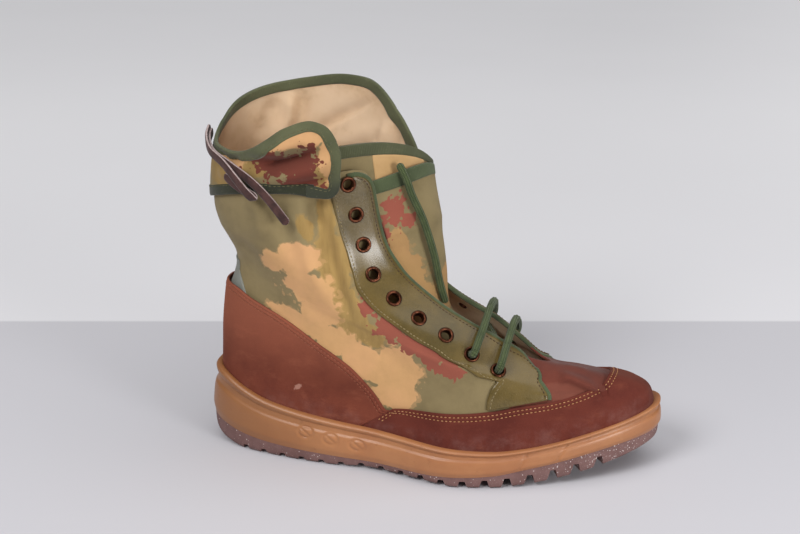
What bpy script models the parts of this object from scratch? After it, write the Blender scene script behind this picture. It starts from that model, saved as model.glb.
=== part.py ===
"""Right-foot canvas field boot: suede rand and counter, leather eyestays, turn-up cuff, rubber cup sole.

Sizes are in millimetres until a mesh is made. +X runs to the toe, +Y to the inner side of the foot, +Z up.
The boot stands on the plane z = 0.
"""

import math
from functools import lru_cache

import bmesh
import bpy
import numpy as np
from mathutils import Matrix, Vector

MM = 0.001
LATERAL, MEDIAL = -1, 1

# Driving sizes
SOLE_LENGTH = 300.0
HEEL_ROUND, OUTER_TOE_ROUND, INNER_TOE_ROUND = 2.6, 2.15, 2.7
CANVAS_WALL = 1.8
SUEDE = 1.4
EYESTAY_LEATHER = 1.4
GAP = 0.6
LACE_RADIUS = 2.5
EYELET_COUNT = 9
EYELET_RADIUS, EYELET_HOLE, EYELET_HEIGHT, EYELET_LIFT = 4.7, 2.5, 1.1, 0.45
THONG_WIDTH, THONG_THICKNESS = 5.4, 1.6
LUG_PITCH, FIRST_LUG_X, LUG_COUNT = 13.94, -121.0, 18

# Sole outline: place along the foot, half width, centre line's offset to the inner side
OUTLINE_X = (-150, -100, -40, 30, 90, 150)
OUTLINE_HALF = (41, 41, 37.8, 53.3, 49, 44)
OUTLINE_CENTRE = (0, 0, -3.4, -0.8, 4.6, 13.4)

# Sole heights: place, underside with heel bevel, arch and toe spring, top of the outsole, footbed, rim
SOLE_HEIGHTS = {
    "x": (-150, -138, -122, -100, -60, -30, 0, 30, 52, 70, 90, 110, 130, 150),
    "underside": (8, 3, 0, 0, 0, 1.8, 1.8, 0, 0, 1.2, 4.2, 8.4, 14, 20.5),
    "outsole_top": (20, 16, 12, 9.4, 7.4, 6.6, 6.6, 7.6, 9, 12.4, 16.2, 20.6, 24.6, 28),
    "footbed": (34, 31, 28, 25, 21, 18, 16, 15, 15.6, 18.4, 22, 26.4, 30.6, 34.4),
    "rim": (55, 51.5, 45, 38.2, 32, 29, 27.4, 25.4, 24.6, 26, 29.4, 34, 39, 44.5),
}

# Midsole wall from its foot to the bead and over the rim: outward offset, share of the wall's height
MIDSOLE_WALL = (
    ("foot", 0.2, 0.0),
    ("belly", 1.5, 0.2),
    ("side", 0.9, 0.5),
    ("groove", -0.9, 0.74),
    ("bead_under", 0.0, 0.82),
    ("bead", 0.7, 0.91),
    ("bead_top", -1.0, 0.985),
    ("rim", -3.2, 1.0),
    ("lip", -5.0, 0.97),
)
CUP_INSET = 4.2

# Rings of the upper, feather edge to collar. inset follows the sole's own outline; otherwise four half widths
# at the shares RING_SHARES from back to front. dip lowers the sides of the vamp, bed follows the footbed's curve,
# swing follows the foot's curved centre line.
RING_COLUMNS = ("inset", "back_x", "back_z", "front_x", "front_z", "rear", "mid", "fore", "front",
                "front_round", "inner_round", "dip", "bed", "swing")
RING_SHARES = (0.15, 0.40, 0.65, 0.88)
RINGS = (
    (7.4, -142.6, 33.0, 142.6, 33.6, 0, 0, 0, 0, 2.15, 0, 0, 1.0, 1.0),
    (8.8, -141.2, 57.0, 141.2, 48.0, 0, 0, 0, 0, 2.15, 0, 0, 0.8, 1.0),
    (None, -140.0, 80.0, 133.5, 58.5, 34.5, 32.5, 41.5, 39.0, 2.2, 0.45, 3.0, 0.4, 1.0),
    (None, -136.0, 105.0, 118.5, 64.8, 33.5, 34.0, 40.0, 37.5, 2.2, 0.4, 8.0, 0.15, 0.9),
    (None, -131.0, 118.0, 100.0, 69.0, 34.0, 36.0, 40.0, 37.0, 2.25, 0.3, 9.0, 0, 0.8),
    (None, -128.8, 127.0, 80.0, 72.3, 35.0, 38.0, 39.5, 38.0, 2.4, 0.2, 8.0, 0, 0.6),
    (None, -129.5, 135.0, 50.0, 90.0, 36.5, 39.5, 39.0, 36.0, 2.3, 0.1, 5.0, 0, 0.4),
    (None, -134.0, 146.0, 20.0, 107.5, 38.0, 40.5, 38.5, 34.0, 2.2, 0, 3.0, 0, 0.2),
    (None, -139.0, 157.0, -8.0, 130.0, 39.5, 41.5, 38.5, 34.0, 2.2, 0, 0, 0, 0),
    (None, -141.2, 169.0, -20.0, 152.0, 40.5, 42.5, 39.5, 35.0, 2.2, 0, 0, 0, 0),
    (None, -141.0, 181.0, -25.5, 182.0, 41.0, 43.0, 41.0, 37.0, 2.2, 0, 0, 0, 0),
    (None, -140.5, 191.0, -27.5, 198.0, 41.0, 43.5, 41.5, 38.0, 2.2, 0, 0, 0, 0),
)
BACK_ROUND = 2.4
TOP_RING = len(RINGS) - 1
# Slump of the vamp's inner side: place along the foot, and how far it has sunk
SLUMP_X = (40, 58, 72, 82, 95, 110, 122, 132, 143)
SLUMP = (0, 3.0, 6.6, 7.4, 6.0, 5.4, 4.6, 3.2, 0)
UPPER_COLUMNS = 21
THROAT_RING = 5

# Half width of the throat slit by ring
THROAT_RINGS = (5.0, 5.12, 5.4, 6.0, 7.0, 9.0, 11.0)
THROAT_HALF = (0.0, 8.0, 13.0, 16.0, 17.0, 18.5, 21.0)

# Upper edges of the suede pieces, seen from the side
RAND_EDGE_X = (-40, -22, -4, 22, 48, 65, 84, 97, 107, 112, 115, 117, 119, 128)
RAND_EDGE_Z = (40, 42.5, 45.6, 46.8, 49.4, 52.4, 54.6, 57, 59.2, 60.2, 62, 65, 69, 78)
COUNTER_EDGE_X = (-145, -126, -113, -91, -65, -45, -32, -22)
COUNTER_EDGE_Z = (113, 112, 107, 97.5, 82.5, 70, 56, 42)
SUEDE_SPLIT = 9 * math.pi / 21
COUNTER_FLARE = 2.4

# Eyestay: front leg down to the rand, then stations up the throat edge with the rear edge beside them
LEG_FRONT = ((82.0, 56.0), (75.6, 65.4), (68.8, 73.2))
LEG_REAR = ((45.0, 50.6), (45.2, 56.0), (47.0, 63.0))
STAY_EDGE_Z = (80.5, 87.5, 95, 101, 108, 117, 128, 139, 151, 167, 183, 196)
STAY_REAR_X = (50, 38, 26, 13, -1, -13, -26, -37, -43.5, -48.5, -53, -55.5)
STAY_REAR_Z = (68, 71.5, 78, 85, 93, 101, 110, 121, 136, 152, 172, 190)
LOWEST_EYELET_X, HIGHEST_EYELET_Z = 50.5, 189.0
EYELET_ACROSS = 0.56
INNER_LEG_SLACK = 0.6

# Tongue from the vamp to its free top: middle line, then the tucked near edge and the free far edge
TONGUE_COLUMNS = ("mid_x", "mid_z", "near_x", "near_y", "near_z", "far_x", "far_y", "far_z")
TONGUE = (
    (78, 68.4, 78, -10, 67.2, 78, 12, 67.2),
    (58, 71, 57, -18, 67, 57, 20, 67),
    (36, 77, 34, -24, 72, 35, 25, 73),
    (16, 87, 10, -26, 83, 17, 20, 86),
    (5, 102, -9, -27, 100, 9, 13, 101),
    (-2, 125, -33, -27, 125, 6, 18, 125),
    (-9, 152, -47, -28, 153, 1, 24, 152),
    (-17, 178, -52, -28, 180, -3, 25, 175),
    (-22, 208, -53, -28, 211, -5, 25, 193),
)
TONGUE_MID_Y = 3.0
TONGUE_THICKNESS = 2.0

# Lace pocket on the tongue: spans across and along the tongue, and how far its mouth stands off
POCKET_ACROSS = (-0.56, 0.96)
POCKET_ALONG = (0.68, 0.905)
POCKET_TILT = 0.07
POCKET_THICKNESS, POCKET_MOUTH = 1.0, 3.0

# Cuff stations from the near front edge round the back to the far front edge: turn round the shaft,
# height of the seam and of the top, then outward and forward offsets low and high
CUFF_COLUMNS = ("turn", "seam_z", "top_z", "low_out", "top_out", "low_fwd", "top_fwd")
CUFF = (
    (-0.83, 181, 215, 4.4, 1.0, 0, 2),
    (-0.74, 183, 225, 2.8, -2.5, 0, 0),
    (-0.66, 184, 227, 0.9, -3.5, 0, 0),
    (-0.54, 184.5, 218, 0.9, 0.5, 0, 0),
    (-0.42, 182.5, 208, 0.9, 2.0, 0, 0),
    (-0.25, 177, 204, 0.9, 2.0, 0, 0),
    (-0.10, 172.5, 208, 0.9, -0.5, 0, 0),
    (0.00, 171.5, 216, 0.9, -3.0, 0, 0),
    (0.12, 172.5, 225, 0.9, -4.0, 0, 0),
    (0.30, 177, 233, 0.9, -2.0, 0, 2),
    (0.50, 182, 238, 0.9, 1.0, 0, 2),
    (0.70, 183.5, 242, 0.9, 2.5, 0, 2),
    (0.86, 184, 239, 4.2, 4.0, 3, 4),
    (0.97, 184, 230, 5.2, 7.0, 24, 2),
)
CUFF_THICKNESS = 1.2

# Lace end lying up the tongue, over the pocket's mouth: share across and along the tongue, standoff
LACE_END_ROUTE = ((0.12, 0.50, 0.0), (0.13, 0.58, 0.4), (0.10, 0.68, 2.6), (0.04, 0.78, 3.8),
                  (-0.04, 0.86, 5.0), (-0.10, 0.915, 5.4), (-0.15, 0.95, 2.8))

# Thong strands, each from its free tip at the back over the cuff: turn, height, standoff. The long one hangs to a
# tip, the short one lies on it, then folds under itself and runs back up.
THONG_LONG = ((-0.035, 212.5, 3.6), (-0.11, 208.0, 2.4), (-0.22, 203.5, 1.0), (-0.34, 198.5, 1.0),
              (-0.44, 191.0, 2.6), (-0.50, 181.0, 3.2), (-0.56, 168.5, 3.0))
THONG_SHORT = ((-0.045, 215.0, 5.8), (-0.12, 210.0, 4.8), (-0.22, 205.0, 3.4), (-0.32, 200.3, 3.4),
               (-0.38, 193.5, 5.8), (-0.425, 185.9, 6.8), (-0.440, 183.0, 6.4), (-0.443, 182.0, 5.2),
               (-0.435, 183.0, 4.0), (-0.395, 185.8, 3.5), (-0.352, 189.2, 3.3), (-0.312, 192.5, 3.1))

COLOURS = {
    "canvas": ((0.36, 0.31, 0.17, 1), 0.9, 0),
    "suede": ((0.20, 0.055, 0.035, 1), 0.95, 0),
    "leather": ((0.16, 0.13, 0.055, 1), 0.45, 0),
    "lining": ((0.56, 0.46, 0.33, 1), 0.9, 0),
    "midsole": ((0.46, 0.24, 0.095, 1), 0.5, 0),
    "outsole": ((0.12, 0.085, 0.08, 1), 0.8, 0),
    "copper": ((0.42, 0.2, 0.13, 1), 0.35, 1),
    "lace": ((0.09, 0.17, 0.06, 1), 0.85, 0),
    "thong": ((0.07, 0.035, 0.03, 1), 0.9, 0),
}


def ramp(stations, values, place):
    """Monotone cubic through a table's column, or through a separate column for each place."""
    stations = np.asarray(stations, float)
    place = np.clip(np.atleast_1d(np.asarray(place, float)), stations[0], stations[-1])
    values = np.asarray(values, float)
    if values.ndim == 1:
        values = np.repeat(values[:, None], len(place), axis=1)
    step = np.diff(stations)[:, None]
    slope = np.diff(values, axis=0) / step
    tangent = np.empty_like(values)
    tangent[0], tangent[-1] = slope[0], slope[-1]
    before, after = slope[:-1], slope[1:]
    same_way = before * after > 0
    weight_a, weight_b = 2 * step[1:] + step[:-1], step[1:] + 2 * step[:-1]
    with np.errstate(divide="ignore", invalid="ignore"):
        mean = (weight_a + weight_b) / (weight_a / before + weight_b / after)
    tangent[1:-1] = np.where(same_way, mean, 0)
    k = np.clip(np.searchsorted(stations, place, side="right") - 1, 0, len(stations) - 2)
    i = np.arange(len(place))
    h = step[k, 0]
    t = (place - stations[k]) / h
    return ((1 + 2 * t) * (1 - t) ** 2 * values[k, i] + t * (1 - t) ** 2 * h * tangent[k, i]
            + t * t * (3 - 2 * t) * values[k + 1, i] - t * t * (1 - t) * h * tangent[k + 1, i])


def sole_height(column, x):
    return ramp(SOLE_HEIGHTS["x"], SOLE_HEIGHTS[column], x)


def centre_line(x):
    return ramp(OUTLINE_X, OUTLINE_CENTRE, x)


def sole_half(x, inset, side):
    """Half width of one side of the sole's outline drawn in by inset. The toe is fuller on the inner side."""
    reach = SOLE_LENGTH / 2 - inset
    share = np.clip(np.abs(x) / reach, 0, 1)
    toe_round = np.where(np.asarray(side) < 0, OUTER_TOE_ROUND, INNER_TOE_ROUND)
    power = np.where(x < 0, HEEL_ROUND, toe_round)
    return (ramp(OUTLINE_X, OUTLINE_HALF, x) - inset) * (1 - share ** power) ** (1 / power)


def sole_loop(inset, count):
    """Points x, y of the sole's outline drawn in by inset, from the heel along the inner side and back."""
    turn = np.arange(count) * 2 * math.pi / count
    x = -(SOLE_LENGTH / 2 - inset) * np.cos(turn)
    side = np.where(turn <= math.pi, MEDIAL, LATERAL)
    return x, centre_line(x) + side * sole_half(x, inset, side)


def ring(row):
    return dict(zip(RING_COLUMNS, row))


def skin(level, angle, side):
    """Points of the upper's outer face: ring level, angle from the heel (0) to the front (pi), side."""
    level, angle = np.broadcast_arrays(np.asarray(level, float), np.asarray(angle, float))
    shape = level.shape
    level, angle = level.ravel(), angle.ravel()
    side = np.broadcast_to(side, shape).ravel()
    share = (1 - np.cos(angle)) / 2
    xs, ys, zs = [], [], []
    for row in map(ring, RINGS):
        x = row["back_x"] + (row["front_x"] - row["back_x"]) * share
        if row["inset"] is not None:
            half = sole_half(x, row["inset"], side)
        else:
            widths = [row[name] for name in ("rear", "mid", "fore", "front")]
            front_round = row["front_round"] + np.where(side > 0, row["inner_round"], 0)
            power = np.where(share < 0.5, BACK_ROUND, front_round)
            ends = (1 - np.abs(2 * share - 1) ** power) ** (1 / power)
            half = ramp(RING_SHARES, widths, share) * ends
        beds = sole_height("footbed", np.array([row["back_x"], row["front_x"]]))
        bed_dip = sole_height("footbed", x) - (beds[0] + (beds[1] - beds[0]) * share)
        xs.append(x)
        ys.append(centre_line(x) * row["swing"] + side * half)
        zs.append(row["back_z"] + (row["front_z"] - row["back_z"]) * share
                  - row["dip"] * np.sin(math.pi * share ** 3) + row["bed"] * bed_dip)
    rows = np.arange(len(RINGS))
    point = [ramp(rows, np.array(values), level) for values in (xs, ys, zs)]
    return np.stack(point, axis=-1).reshape(shape + (3,))


def skin_normal(level, angle, side):
    """Outward normal of the upper's face."""
    step = 0.004
    up = skin(np.minimum(level + step, TOP_RING), angle, side) - skin(np.maximum(level - step, 0), angle, side)
    along = skin(level, np.minimum(angle + step, math.pi), side) - skin(level, np.maximum(angle - step, 0), side)
    normal = np.cross(up, along) * np.asarray(side)[..., None]
    return normal / np.linalg.norm(normal, axis=-1, keepdims=True)


def off_skin(level, angle, side, distance):
    """Points at a distance outside the upper's face."""
    side = np.broadcast_to(side, np.shape(level))
    return skin(level, angle, side) + skin_normal(level, angle, side) * np.asarray(distance)[..., None]


def solve(low, high, is_past, rounds=26):
    """Bisection for arrays: the place between low and high where is_past turns true."""
    low, high = np.array(low, float), np.array(high, float)
    for _ in range(rounds):
        middle = (low + high) / 2
        past = is_past(middle)
        high = np.where(past, middle, high)
        low = np.where(past, low, middle)
    return (low + high) / 2


@lru_cache(maxsize=None)
def throat_table():
    """Rings of the throat, and the angle at which each meets the throat's edge."""
    levels = np.concatenate([np.linspace(THROAT_RING, 5.5, 60), np.linspace(5.55, TOP_RING, 110)])
    half = ramp(THROAT_RINGS, THROAT_HALF, levels)

    def past(angle):
        return skin(levels, angle, MEDIAL)[..., 1] - skin(levels, angle, LATERAL)[..., 1] < 2 * half

    return levels, solve(np.full(levels.shape, math.pi / 2), np.full(levels.shape, math.pi), past)


def edge_angle(level):
    """Angle at which a ring meets the throat's edge, pi below the throat."""
    return np.where(np.asarray(level) > THROAT_RING, np.interp(level, *throat_table()), math.pi)


def throat_edge(x, side):
    """Point of the throat's edge at a place along the foot."""
    levels, angles = throat_table()
    edge = skin(levels, angles, side)
    return edge[np.argmin(np.abs(edge[:, 0] - x))]


def edge_level(height):
    """Ring at which the throat's edge reaches a height."""
    height = np.asarray(height, float)

    def past(level):
        return skin(level, edge_angle(level), LATERAL)[..., 2] > height

    return solve(np.full(height.shape, THROAT_RING + 0.02), np.full(height.shape, float(TOP_RING)), past)


def locate(x, z, side):
    """Ring level and angle of the points of one side that are seen at x, z from that side."""
    levels, angles = np.meshgrid(np.linspace(0.2, TOP_RING - 0.1, 60), np.linspace(0.1, 2.9, 90), indexing="ij")
    grid = skin(levels, angles, side)[..., [0, 2]].reshape(-1, 2)
    wanted = np.stack([np.asarray(x, float), np.asarray(z, float)], axis=-1)
    nearest = np.argmin(((grid[None] - wanted[:, None]) ** 2).sum(axis=-1), axis=1)
    level, angle = levels.ravel()[nearest], angles.ravel()[nearest]
    step = 1e-3
    for _ in range(12):
        here = skin(level, angle, side)[:, [0, 2]]
        by_level = (skin(level + step, angle, side)[:, [0, 2]] - here) / step
        by_angle = (skin(level, angle + step, side)[:, [0, 2]] - here) / step
        change = np.linalg.solve(np.stack([by_level, by_angle], axis=-1), (wanted - here)[..., None])[..., 0]
        change = np.clip(change, -0.3, 0.3)
        level = np.clip(level + change[:, 0], 0, TOP_RING - 2 * step)
        angle = np.clip(angle + change[:, 1], 0.05, 3.1)
    return np.stack([level, angle], axis=-1)


def rand_level(angle, side):
    """Ring at which the rand ends, for an angle."""

    def past(level):
        point = skin(level, angle, side)
        edge = ramp(RAND_EDGE_X, RAND_EDGE_Z, point[..., 0].ravel()).reshape(angle.shape)
        return point[..., 2] > edge

    return solve(np.full(angle.shape, 0.3), np.full(angle.shape, 4.9), past)


def counter_level(angle, side):
    """Ring at which the heel counter ends, for an angle."""

    def past(level):
        point = skin(level, angle, side)
        edge = ramp(COUNTER_EDGE_X, COUNTER_EDGE_Z, point[..., 0].ravel()).reshape(angle.shape)
        return point[..., 2] > edge

    return solve(np.full(angle.shape, 0.3), np.full(angle.shape, 4.9), past)


@lru_cache(maxsize=None)
def stay_patch(rows, columns, side):
    """Levels and angles of an eyestay: rows from the rand to the top, columns from the throat to the rear edge."""
    leg_front = locate([p[0] for p in LEG_FRONT], [p[1] for p in LEG_FRONT], side)
    leg_rear = locate([p[0] for p in LEG_REAR], [p[1] for p in LEG_REAR], side)
    levels = edge_level(np.array(STAY_EDGE_Z, float))
    front = np.concatenate([leg_front, np.stack([levels, edge_angle(levels) - 0.004], axis=1)])
    rear = np.concatenate([leg_rear, locate(STAY_REAR_X, STAY_REAR_Z, side)])
    station = np.arange(len(front))
    place = np.linspace(0, len(front) - 1, rows)
    front = np.stack([ramp(station, front[:, k], place) for k in (0, 1)], axis=-1)
    rear = np.stack([ramp(station, rear[:, k], place) for k in (0, 1)], axis=-1)
    across = np.linspace(0, 1, columns)[None, :, None]
    patch = front[:, None] * (1 - across) + rear[:, None] * across
    return patch[..., 0], patch[..., 1]


@lru_cache(maxsize=None)
def eyelet_places(side):
    """Level and angle of each eyelet, evenly spaced down the middle of an eyestay, highest first."""
    levels, angles = stay_patch(400, 2, side)
    levels, angles = (v[:, 0] + (v[:, 1] - v[:, 0]) * EYELET_ACROSS for v in (levels, angles))
    middle = skin(levels, angles, side)
    length = np.concatenate([[0], np.cumsum(np.linalg.norm(np.diff(middle, axis=0), axis=1))])
    lowest = length[np.argmax(middle[:, 0] < LOWEST_EYELET_X)]
    highest = length[np.argmax(middle[:, 2] > HIGHEST_EYELET_Z)]
    wanted = np.linspace(highest, lowest, EYELET_COUNT)
    return np.interp(wanted, length, levels), np.interp(wanted, length, angles)


def eyelet_seats(side):
    """Point on the upper's face, normal and distance to the underside of each eyelet, clear of the leather's curve."""
    levels, angles = eyelet_places(side)
    sides = np.full(len(levels), side)
    places, normals = skin(levels, angles, sides), skin_normal(levels, angles, sides)
    by_level, by_angle = np.meshgrid(np.linspace(-0.5, 0.5, 25), np.linspace(-0.2, 0.2, 25))
    seats = []
    for level, angle, place, normal in zip(levels, angles, places, normals):
        around = skin(np.minimum(level + by_level, TOP_RING), angle + by_angle, side) - place
        rise = (around @ normal)[np.linalg.norm(around, axis=-1) < EYELET_RADIUS + 0.5].max()
        seats.append(GAP + EYESTAY_LEATHER + EYELET_LIFT + rise)
    return places, normals, np.array(seats)


def tongue_point(across, along):
    """Middle surface of the tongue: across from the near edge (-1) to the far edge (1), along from base to top."""
    across, along = np.broadcast_arrays(np.asarray(across, float), np.asarray(along, float))
    shape = across.shape
    across, along = across.ravel(), along.ravel()
    row = np.arange(len(TONGUE))
    columns = dict(zip(TONGUE_COLUMNS, np.array(TONGUE, float).T))
    at = {name: ramp(row, column, along * (len(TONGUE) - 1)) for name, column in columns.items()}
    point = []
    for axis in "xyz":
        middle = TONGUE_MID_Y if axis == "y" else at["mid_" + axis]
        near, far = at["near_" + axis], at["far_" + axis]
        bow = (near + far) / 2 - middle
        point.append(middle + (far - near) / 2 * across + bow * across ** 2)
    return np.stack(point, axis=-1).reshape(shape + (3,))


def off_tongue(across, along, distance):
    """Points in front of the tongue's middle surface."""
    step = 0.01
    sideways = tongue_point(across + step, along) - tongue_point(across - step, along)
    upward = tongue_point(across, along + step) - tongue_point(across, along - step)
    normal = np.cross(sideways, upward)
    normal = normal / np.linalg.norm(normal, axis=-1, keepdims=True)
    return tongue_point(across, along) + normal * np.asarray(distance)[..., None]


def pocket_grid(columns, rows):
    """Shares across and along the tongue, and standoffs, of the pocket's inner face. Its mouth slants."""
    up, out = np.meshgrid(np.linspace(0, 1, rows), np.linspace(0, 1, columns), indexing="ij")
    across = POCKET_ACROSS[0] + (POCKET_ACROSS[1] - POCKET_ACROSS[0]) * out
    along = POCKET_ALONG[0] + (POCKET_ALONG[1] + POCKET_TILT * out - POCKET_ALONG[0]) * up
    return across, along, TONGUE_THICKNESS / 2 + GAP + POCKET_MOUTH * up ** 2 * np.sin(math.pi * out)


def shaft_point(turn, height, distance):
    """Point outside the shaft at a height, turn from the near throat edge (-1) round the back to the far one (1)."""
    turn, height, distance = np.broadcast_arrays(*(np.asarray(v, float) for v in (turn, height, distance)))
    side = np.where(turn < 0, LATERAL, MEDIAL)

    def past(level):
        return skin(level, np.abs(turn) * edge_angle(level), side)[..., 2] > height

    level = solve(np.full(turn.shape, 6.5), np.full(turn.shape, float(TOP_RING)), past)
    point = off_skin(level, np.abs(turn) * edge_angle(level), side, distance)
    point[..., 2] = height
    return point


def cuff_point(turn, share):
    """Inner face of the cuff: turn round the shaft, share of the height from the seam to the top."""
    columns = dict(zip(CUFF_COLUMNS, np.array(CUFF).T))
    at = {name: ramp(columns["turn"], column, np.ravel(turn)).reshape(np.shape(turn))
          for name, column in columns.items()}
    height = at["seam_z"] + (at["top_z"] - at["seam_z"]) * share
    lean = at["low_out"] + (at["top_out"] - at["low_out"]) * share ** 2.5
    point = shaft_point(turn, np.minimum(height, 189.0), lean)
    point[..., 0] += at["low_fwd"] + (at["top_fwd"] - at["low_fwd"]) * share
    point[..., 2] = height
    return point


def off_cuff(turn, height, distance):
    """Points outside the cuff's inner face at a height."""
    columns = dict(zip(CUFF_COLUMNS, np.array(CUFF).T))
    low = ramp(columns["turn"], columns["seam_z"], turn)
    high = ramp(columns["turn"], columns["top_z"], turn)
    share = np.clip((height - low) / (high - low), 0, 1)
    step = 0.01
    along = cuff_point(turn + step, share) - cuff_point(turn - step, share)
    outward = np.stack([-along[..., 1], along[..., 0], np.zeros_like(turn)], axis=-1)
    outward = outward / np.linalg.norm(outward, axis=-1, keepdims=True)
    point = cuff_point(turn, share) + outward * np.asarray(distance)[..., None]
    point[..., 2] = height
    return point


def smooth_route(points, count):
    """Evenly spaced points on a smooth curve through a route's own points."""
    points = np.array(points, float)
    padded = np.concatenate([2 * points[:1] - points[1:2], points, 2 * points[-1:] - points[-2:-1]])
    fine = []
    for a, b, c, d in zip(padded, padded[1:], padded[2:], padded[3:]):
        t = np.linspace(0, 1, 24, endpoint=False)[:, None]
        fine.append(0.5 * (2 * b + (c - a) * t + (2 * a - 5 * b + 4 * c - d) * t ** 2
                           + (3 * b - a - 3 * c + d) * t ** 3))
    fine = np.concatenate(fine + [points[-1:]])
    length = np.concatenate([[0], np.cumsum(np.linalg.norm(np.diff(fine, axis=0), axis=1))])
    wanted = np.linspace(0, length[-1], count)
    return np.stack([np.interp(wanted, length, fine[:, k]) for k in range(3)], axis=-1)


def clear_scene():
    for obj in list(bpy.data.objects):
        bpy.data.objects.remove(obj)


def new_collection(name):
    collection = bpy.data.collections.new(name)
    bpy.context.scene.collection.children.link(collection)
    return collection


def material(name):
    found = bpy.data.materials.get(name)
    if found:
        return found
    colour, roughness, metallic = COLOURS[name]
    made = bpy.data.materials.new(name)
    made.use_nodes = True
    shader = made.node_tree.nodes["Principled BSDF"]
    shader.inputs["Base Color"].default_value = colour
    shader.inputs["Roughness"].default_value = roughness
    shader.inputs["Metallic"].default_value = metallic
    return made


def add_object(name, data, finish, collection):
    obj = bpy.data.objects.new(name, data)
    data.materials.append(material(finish))
    collection.objects.link(obj)
    return obj


def frame_shift():
    """Moves the middle of the sole's box onto the origin."""
    x, y = sole_loop(-widest_wall(), 400)
    return np.array([-(x.min() + x.max()) / 2, -(y.min() + y.max()) / 2, 0.0])


def widest_wall():
    return max(offset for _, offset, _ in MIDSOLE_WALL)


def slump(points):
    """How far the vamp's inner side has sunk at points: nothing on the outer side or near the sole."""
    x, y, z = np.moveaxis(points, -1, 0)
    inward, upward = np.clip((y + 10) / 30, 0, 1), np.clip((z - 44) / 16, 0, 1)
    eased = inward * inward * (3 - 2 * inward) * upward * upward * (3 - 2 * upward)
    return ramp(SLUMP_X, SLUMP, x.ravel()).reshape(x.shape) * eased


def to_metres(points):
    points = np.array(points, float)
    points[..., 2] -= slump(points)
    return (points + SHIFT) * MM


def sheet_mesh(name, points, weld=0.0):
    """Open grid of quads laid on an array of points, rows by columns."""
    rows, columns = points.shape[:2]
    grid = bmesh.new()
    bmesh.ops.create_grid(grid, x_segments=columns - 1, y_segments=rows - 1, size=1)
    grid.verts.ensure_lookup_table()
    for vert, place in zip(grid.verts, to_metres(points).reshape(-1, 3)):
        vert.co = Vector(place)
    if weld:
        bmesh.ops.remove_doubles(grid, verts=grid.verts, dist=weld * MM)
    mesh = bpy.data.meshes.new(name)
    grid.to_mesh(mesh)
    grid.free()
    mesh.shade_smooth()
    return mesh


def shell(name, points, thickness, finish, collection, outward=True, weld=0.0):
    """A sheet with a wall that grows to its normal side, or away from it."""
    obj = add_object(name, sheet_mesh(name, points, weld), finish, collection)
    wall = obj.modifiers.new("wall", "SOLIDIFY")
    wall.thickness = thickness * MM
    wall.offset = 1 if outward else -1
    wall.use_quality_normals = True
    return obj


def lofted(name, loops, finish, collection):
    """Closed solid through loops of equal count, with a ladder of quads across its first and last loop."""
    count = len(loops[0])
    body = bmesh.new()
    verts = [[body.verts.new(Vector(p)) for p in to_metres(loop)] for loop in loops]
    for low, high in zip(verts, verts[1:]):
        for k in range(count):
            body.faces.new((low[k - 1], low[k], high[k], high[k - 1]))
    for end in (verts[0], verts[-1]):
        for k in range(count // 2):
            body.faces.new(dict.fromkeys((end[k], end[k + 1], end[-k - 1], end[-k])))
    bmesh.ops.recalc_face_normals(body, faces=body.faces)
    mesh = bpy.data.meshes.new(name)
    body.to_mesh(mesh)
    body.free()
    mesh.shade_smooth()
    mesh.set_sharp_from_angle(angle=math.radians(40))
    return add_object(name, mesh, finish, collection)


def sole_ring(inset, height_of, count):
    """Loop of the sole at an inset whose height is a function of the place along the foot."""
    x, y = sole_loop(inset, count)
    return np.stack([x, y, height_of(np.clip(x, OUTLINE_X[0], OUTLINE_X[-1]))], axis=-1)


def make_outsole(collection, cutters):
    count = 76

    def between(share):
        return lambda x: (sole_height("underside", x) * (1 - share) + (sole_height("outsole_top", x) - GAP) * share)

    loops = [sole_ring(inset, between(share), count)
             for inset, share in ((2.2, 0.0), (0.4, 0.22), (0.0, 0.6), (0.0, 1.0))]
    outsole = lofted("outsole", loops, "outsole", collection)
    cut = outsole.modifiers.new("lugs", "BOOLEAN")
    cut.operation = "DIFFERENCE"
    cut.object = make_lug_cutter(cutters)
    return outsole


def make_lug_cutter(cutters):
    """Notches that leave the lugs along both edges of the outsole."""
    body = bmesh.new()
    for k in range(LUG_COUNT):
        x = FIRST_LUG_X + k * LUG_PITCH
        depth = float(ramp((-121, -40, 20, 70, 120), (3.2, 2.4, 3.4, 5.4, 5.4), x)[0])
        for side in (LATERAL, MEDIAL):
            add_notch(body, x, side, depth)
    mesh = bpy.data.meshes.new("lug_cutter")
    body.to_mesh(mesh)
    body.free()
    cutter = bpy.data.objects.new("lug_cutter", mesh)
    cutter.hide_render = True
    cutter.display_type = "WIRE"
    cutters.objects.link(cutter)
    return cutter


def add_notch(body, x, side, depth):
    """One notch: a wedge that is wider at the ground, set square to the outline."""
    step = 1.0
    y, ahead = centre_line((x, x + step)) + side * sole_half(np.array([x, x + step]), 0, side)
    along = Vector((step, ahead - y, 0)).normalized()
    inward = Vector((-along.y, along.x, 0)) * -side
    ground = float(sole_height("underside", x)[0])
    inner, outer, foot_half, top_half = 15.0, 4.0, 4.0, 2.2
    made = bmesh.ops.create_cube(body, size=1)["verts"]
    for vert in made:
        half = top_half if vert.co.z > 0 else foot_half
        place = Vector((x, y, 0)) + along * (math.copysign(half, vert.co.x))
        place += inward * (inner if vert.co.y > 0 else -outer)
        place.z = ground + (depth if vert.co.z > 0 else -4.0)
        vert.co = Vector(to_metres(place))
    if inward.cross(along).z > 0:
        bmesh.ops.reverse_faces(body, faces=list({f for v in made for f in v.link_faces}))


def make_midsole(collection):
    count = 76

    def wall(share):
        return lambda x: (sole_height("outsole_top", x) * (1 - share) + sole_height("rim", x) * share)

    loops = [sole_ring(-offset, wall(share), count) for _, offset, share in MIDSOLE_WALL]
    loops.append(sole_ring(CUP_INSET, lambda x: sole_height("footbed", x), count))
    return lofted("midsole", loops, "midsole", collection)


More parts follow.
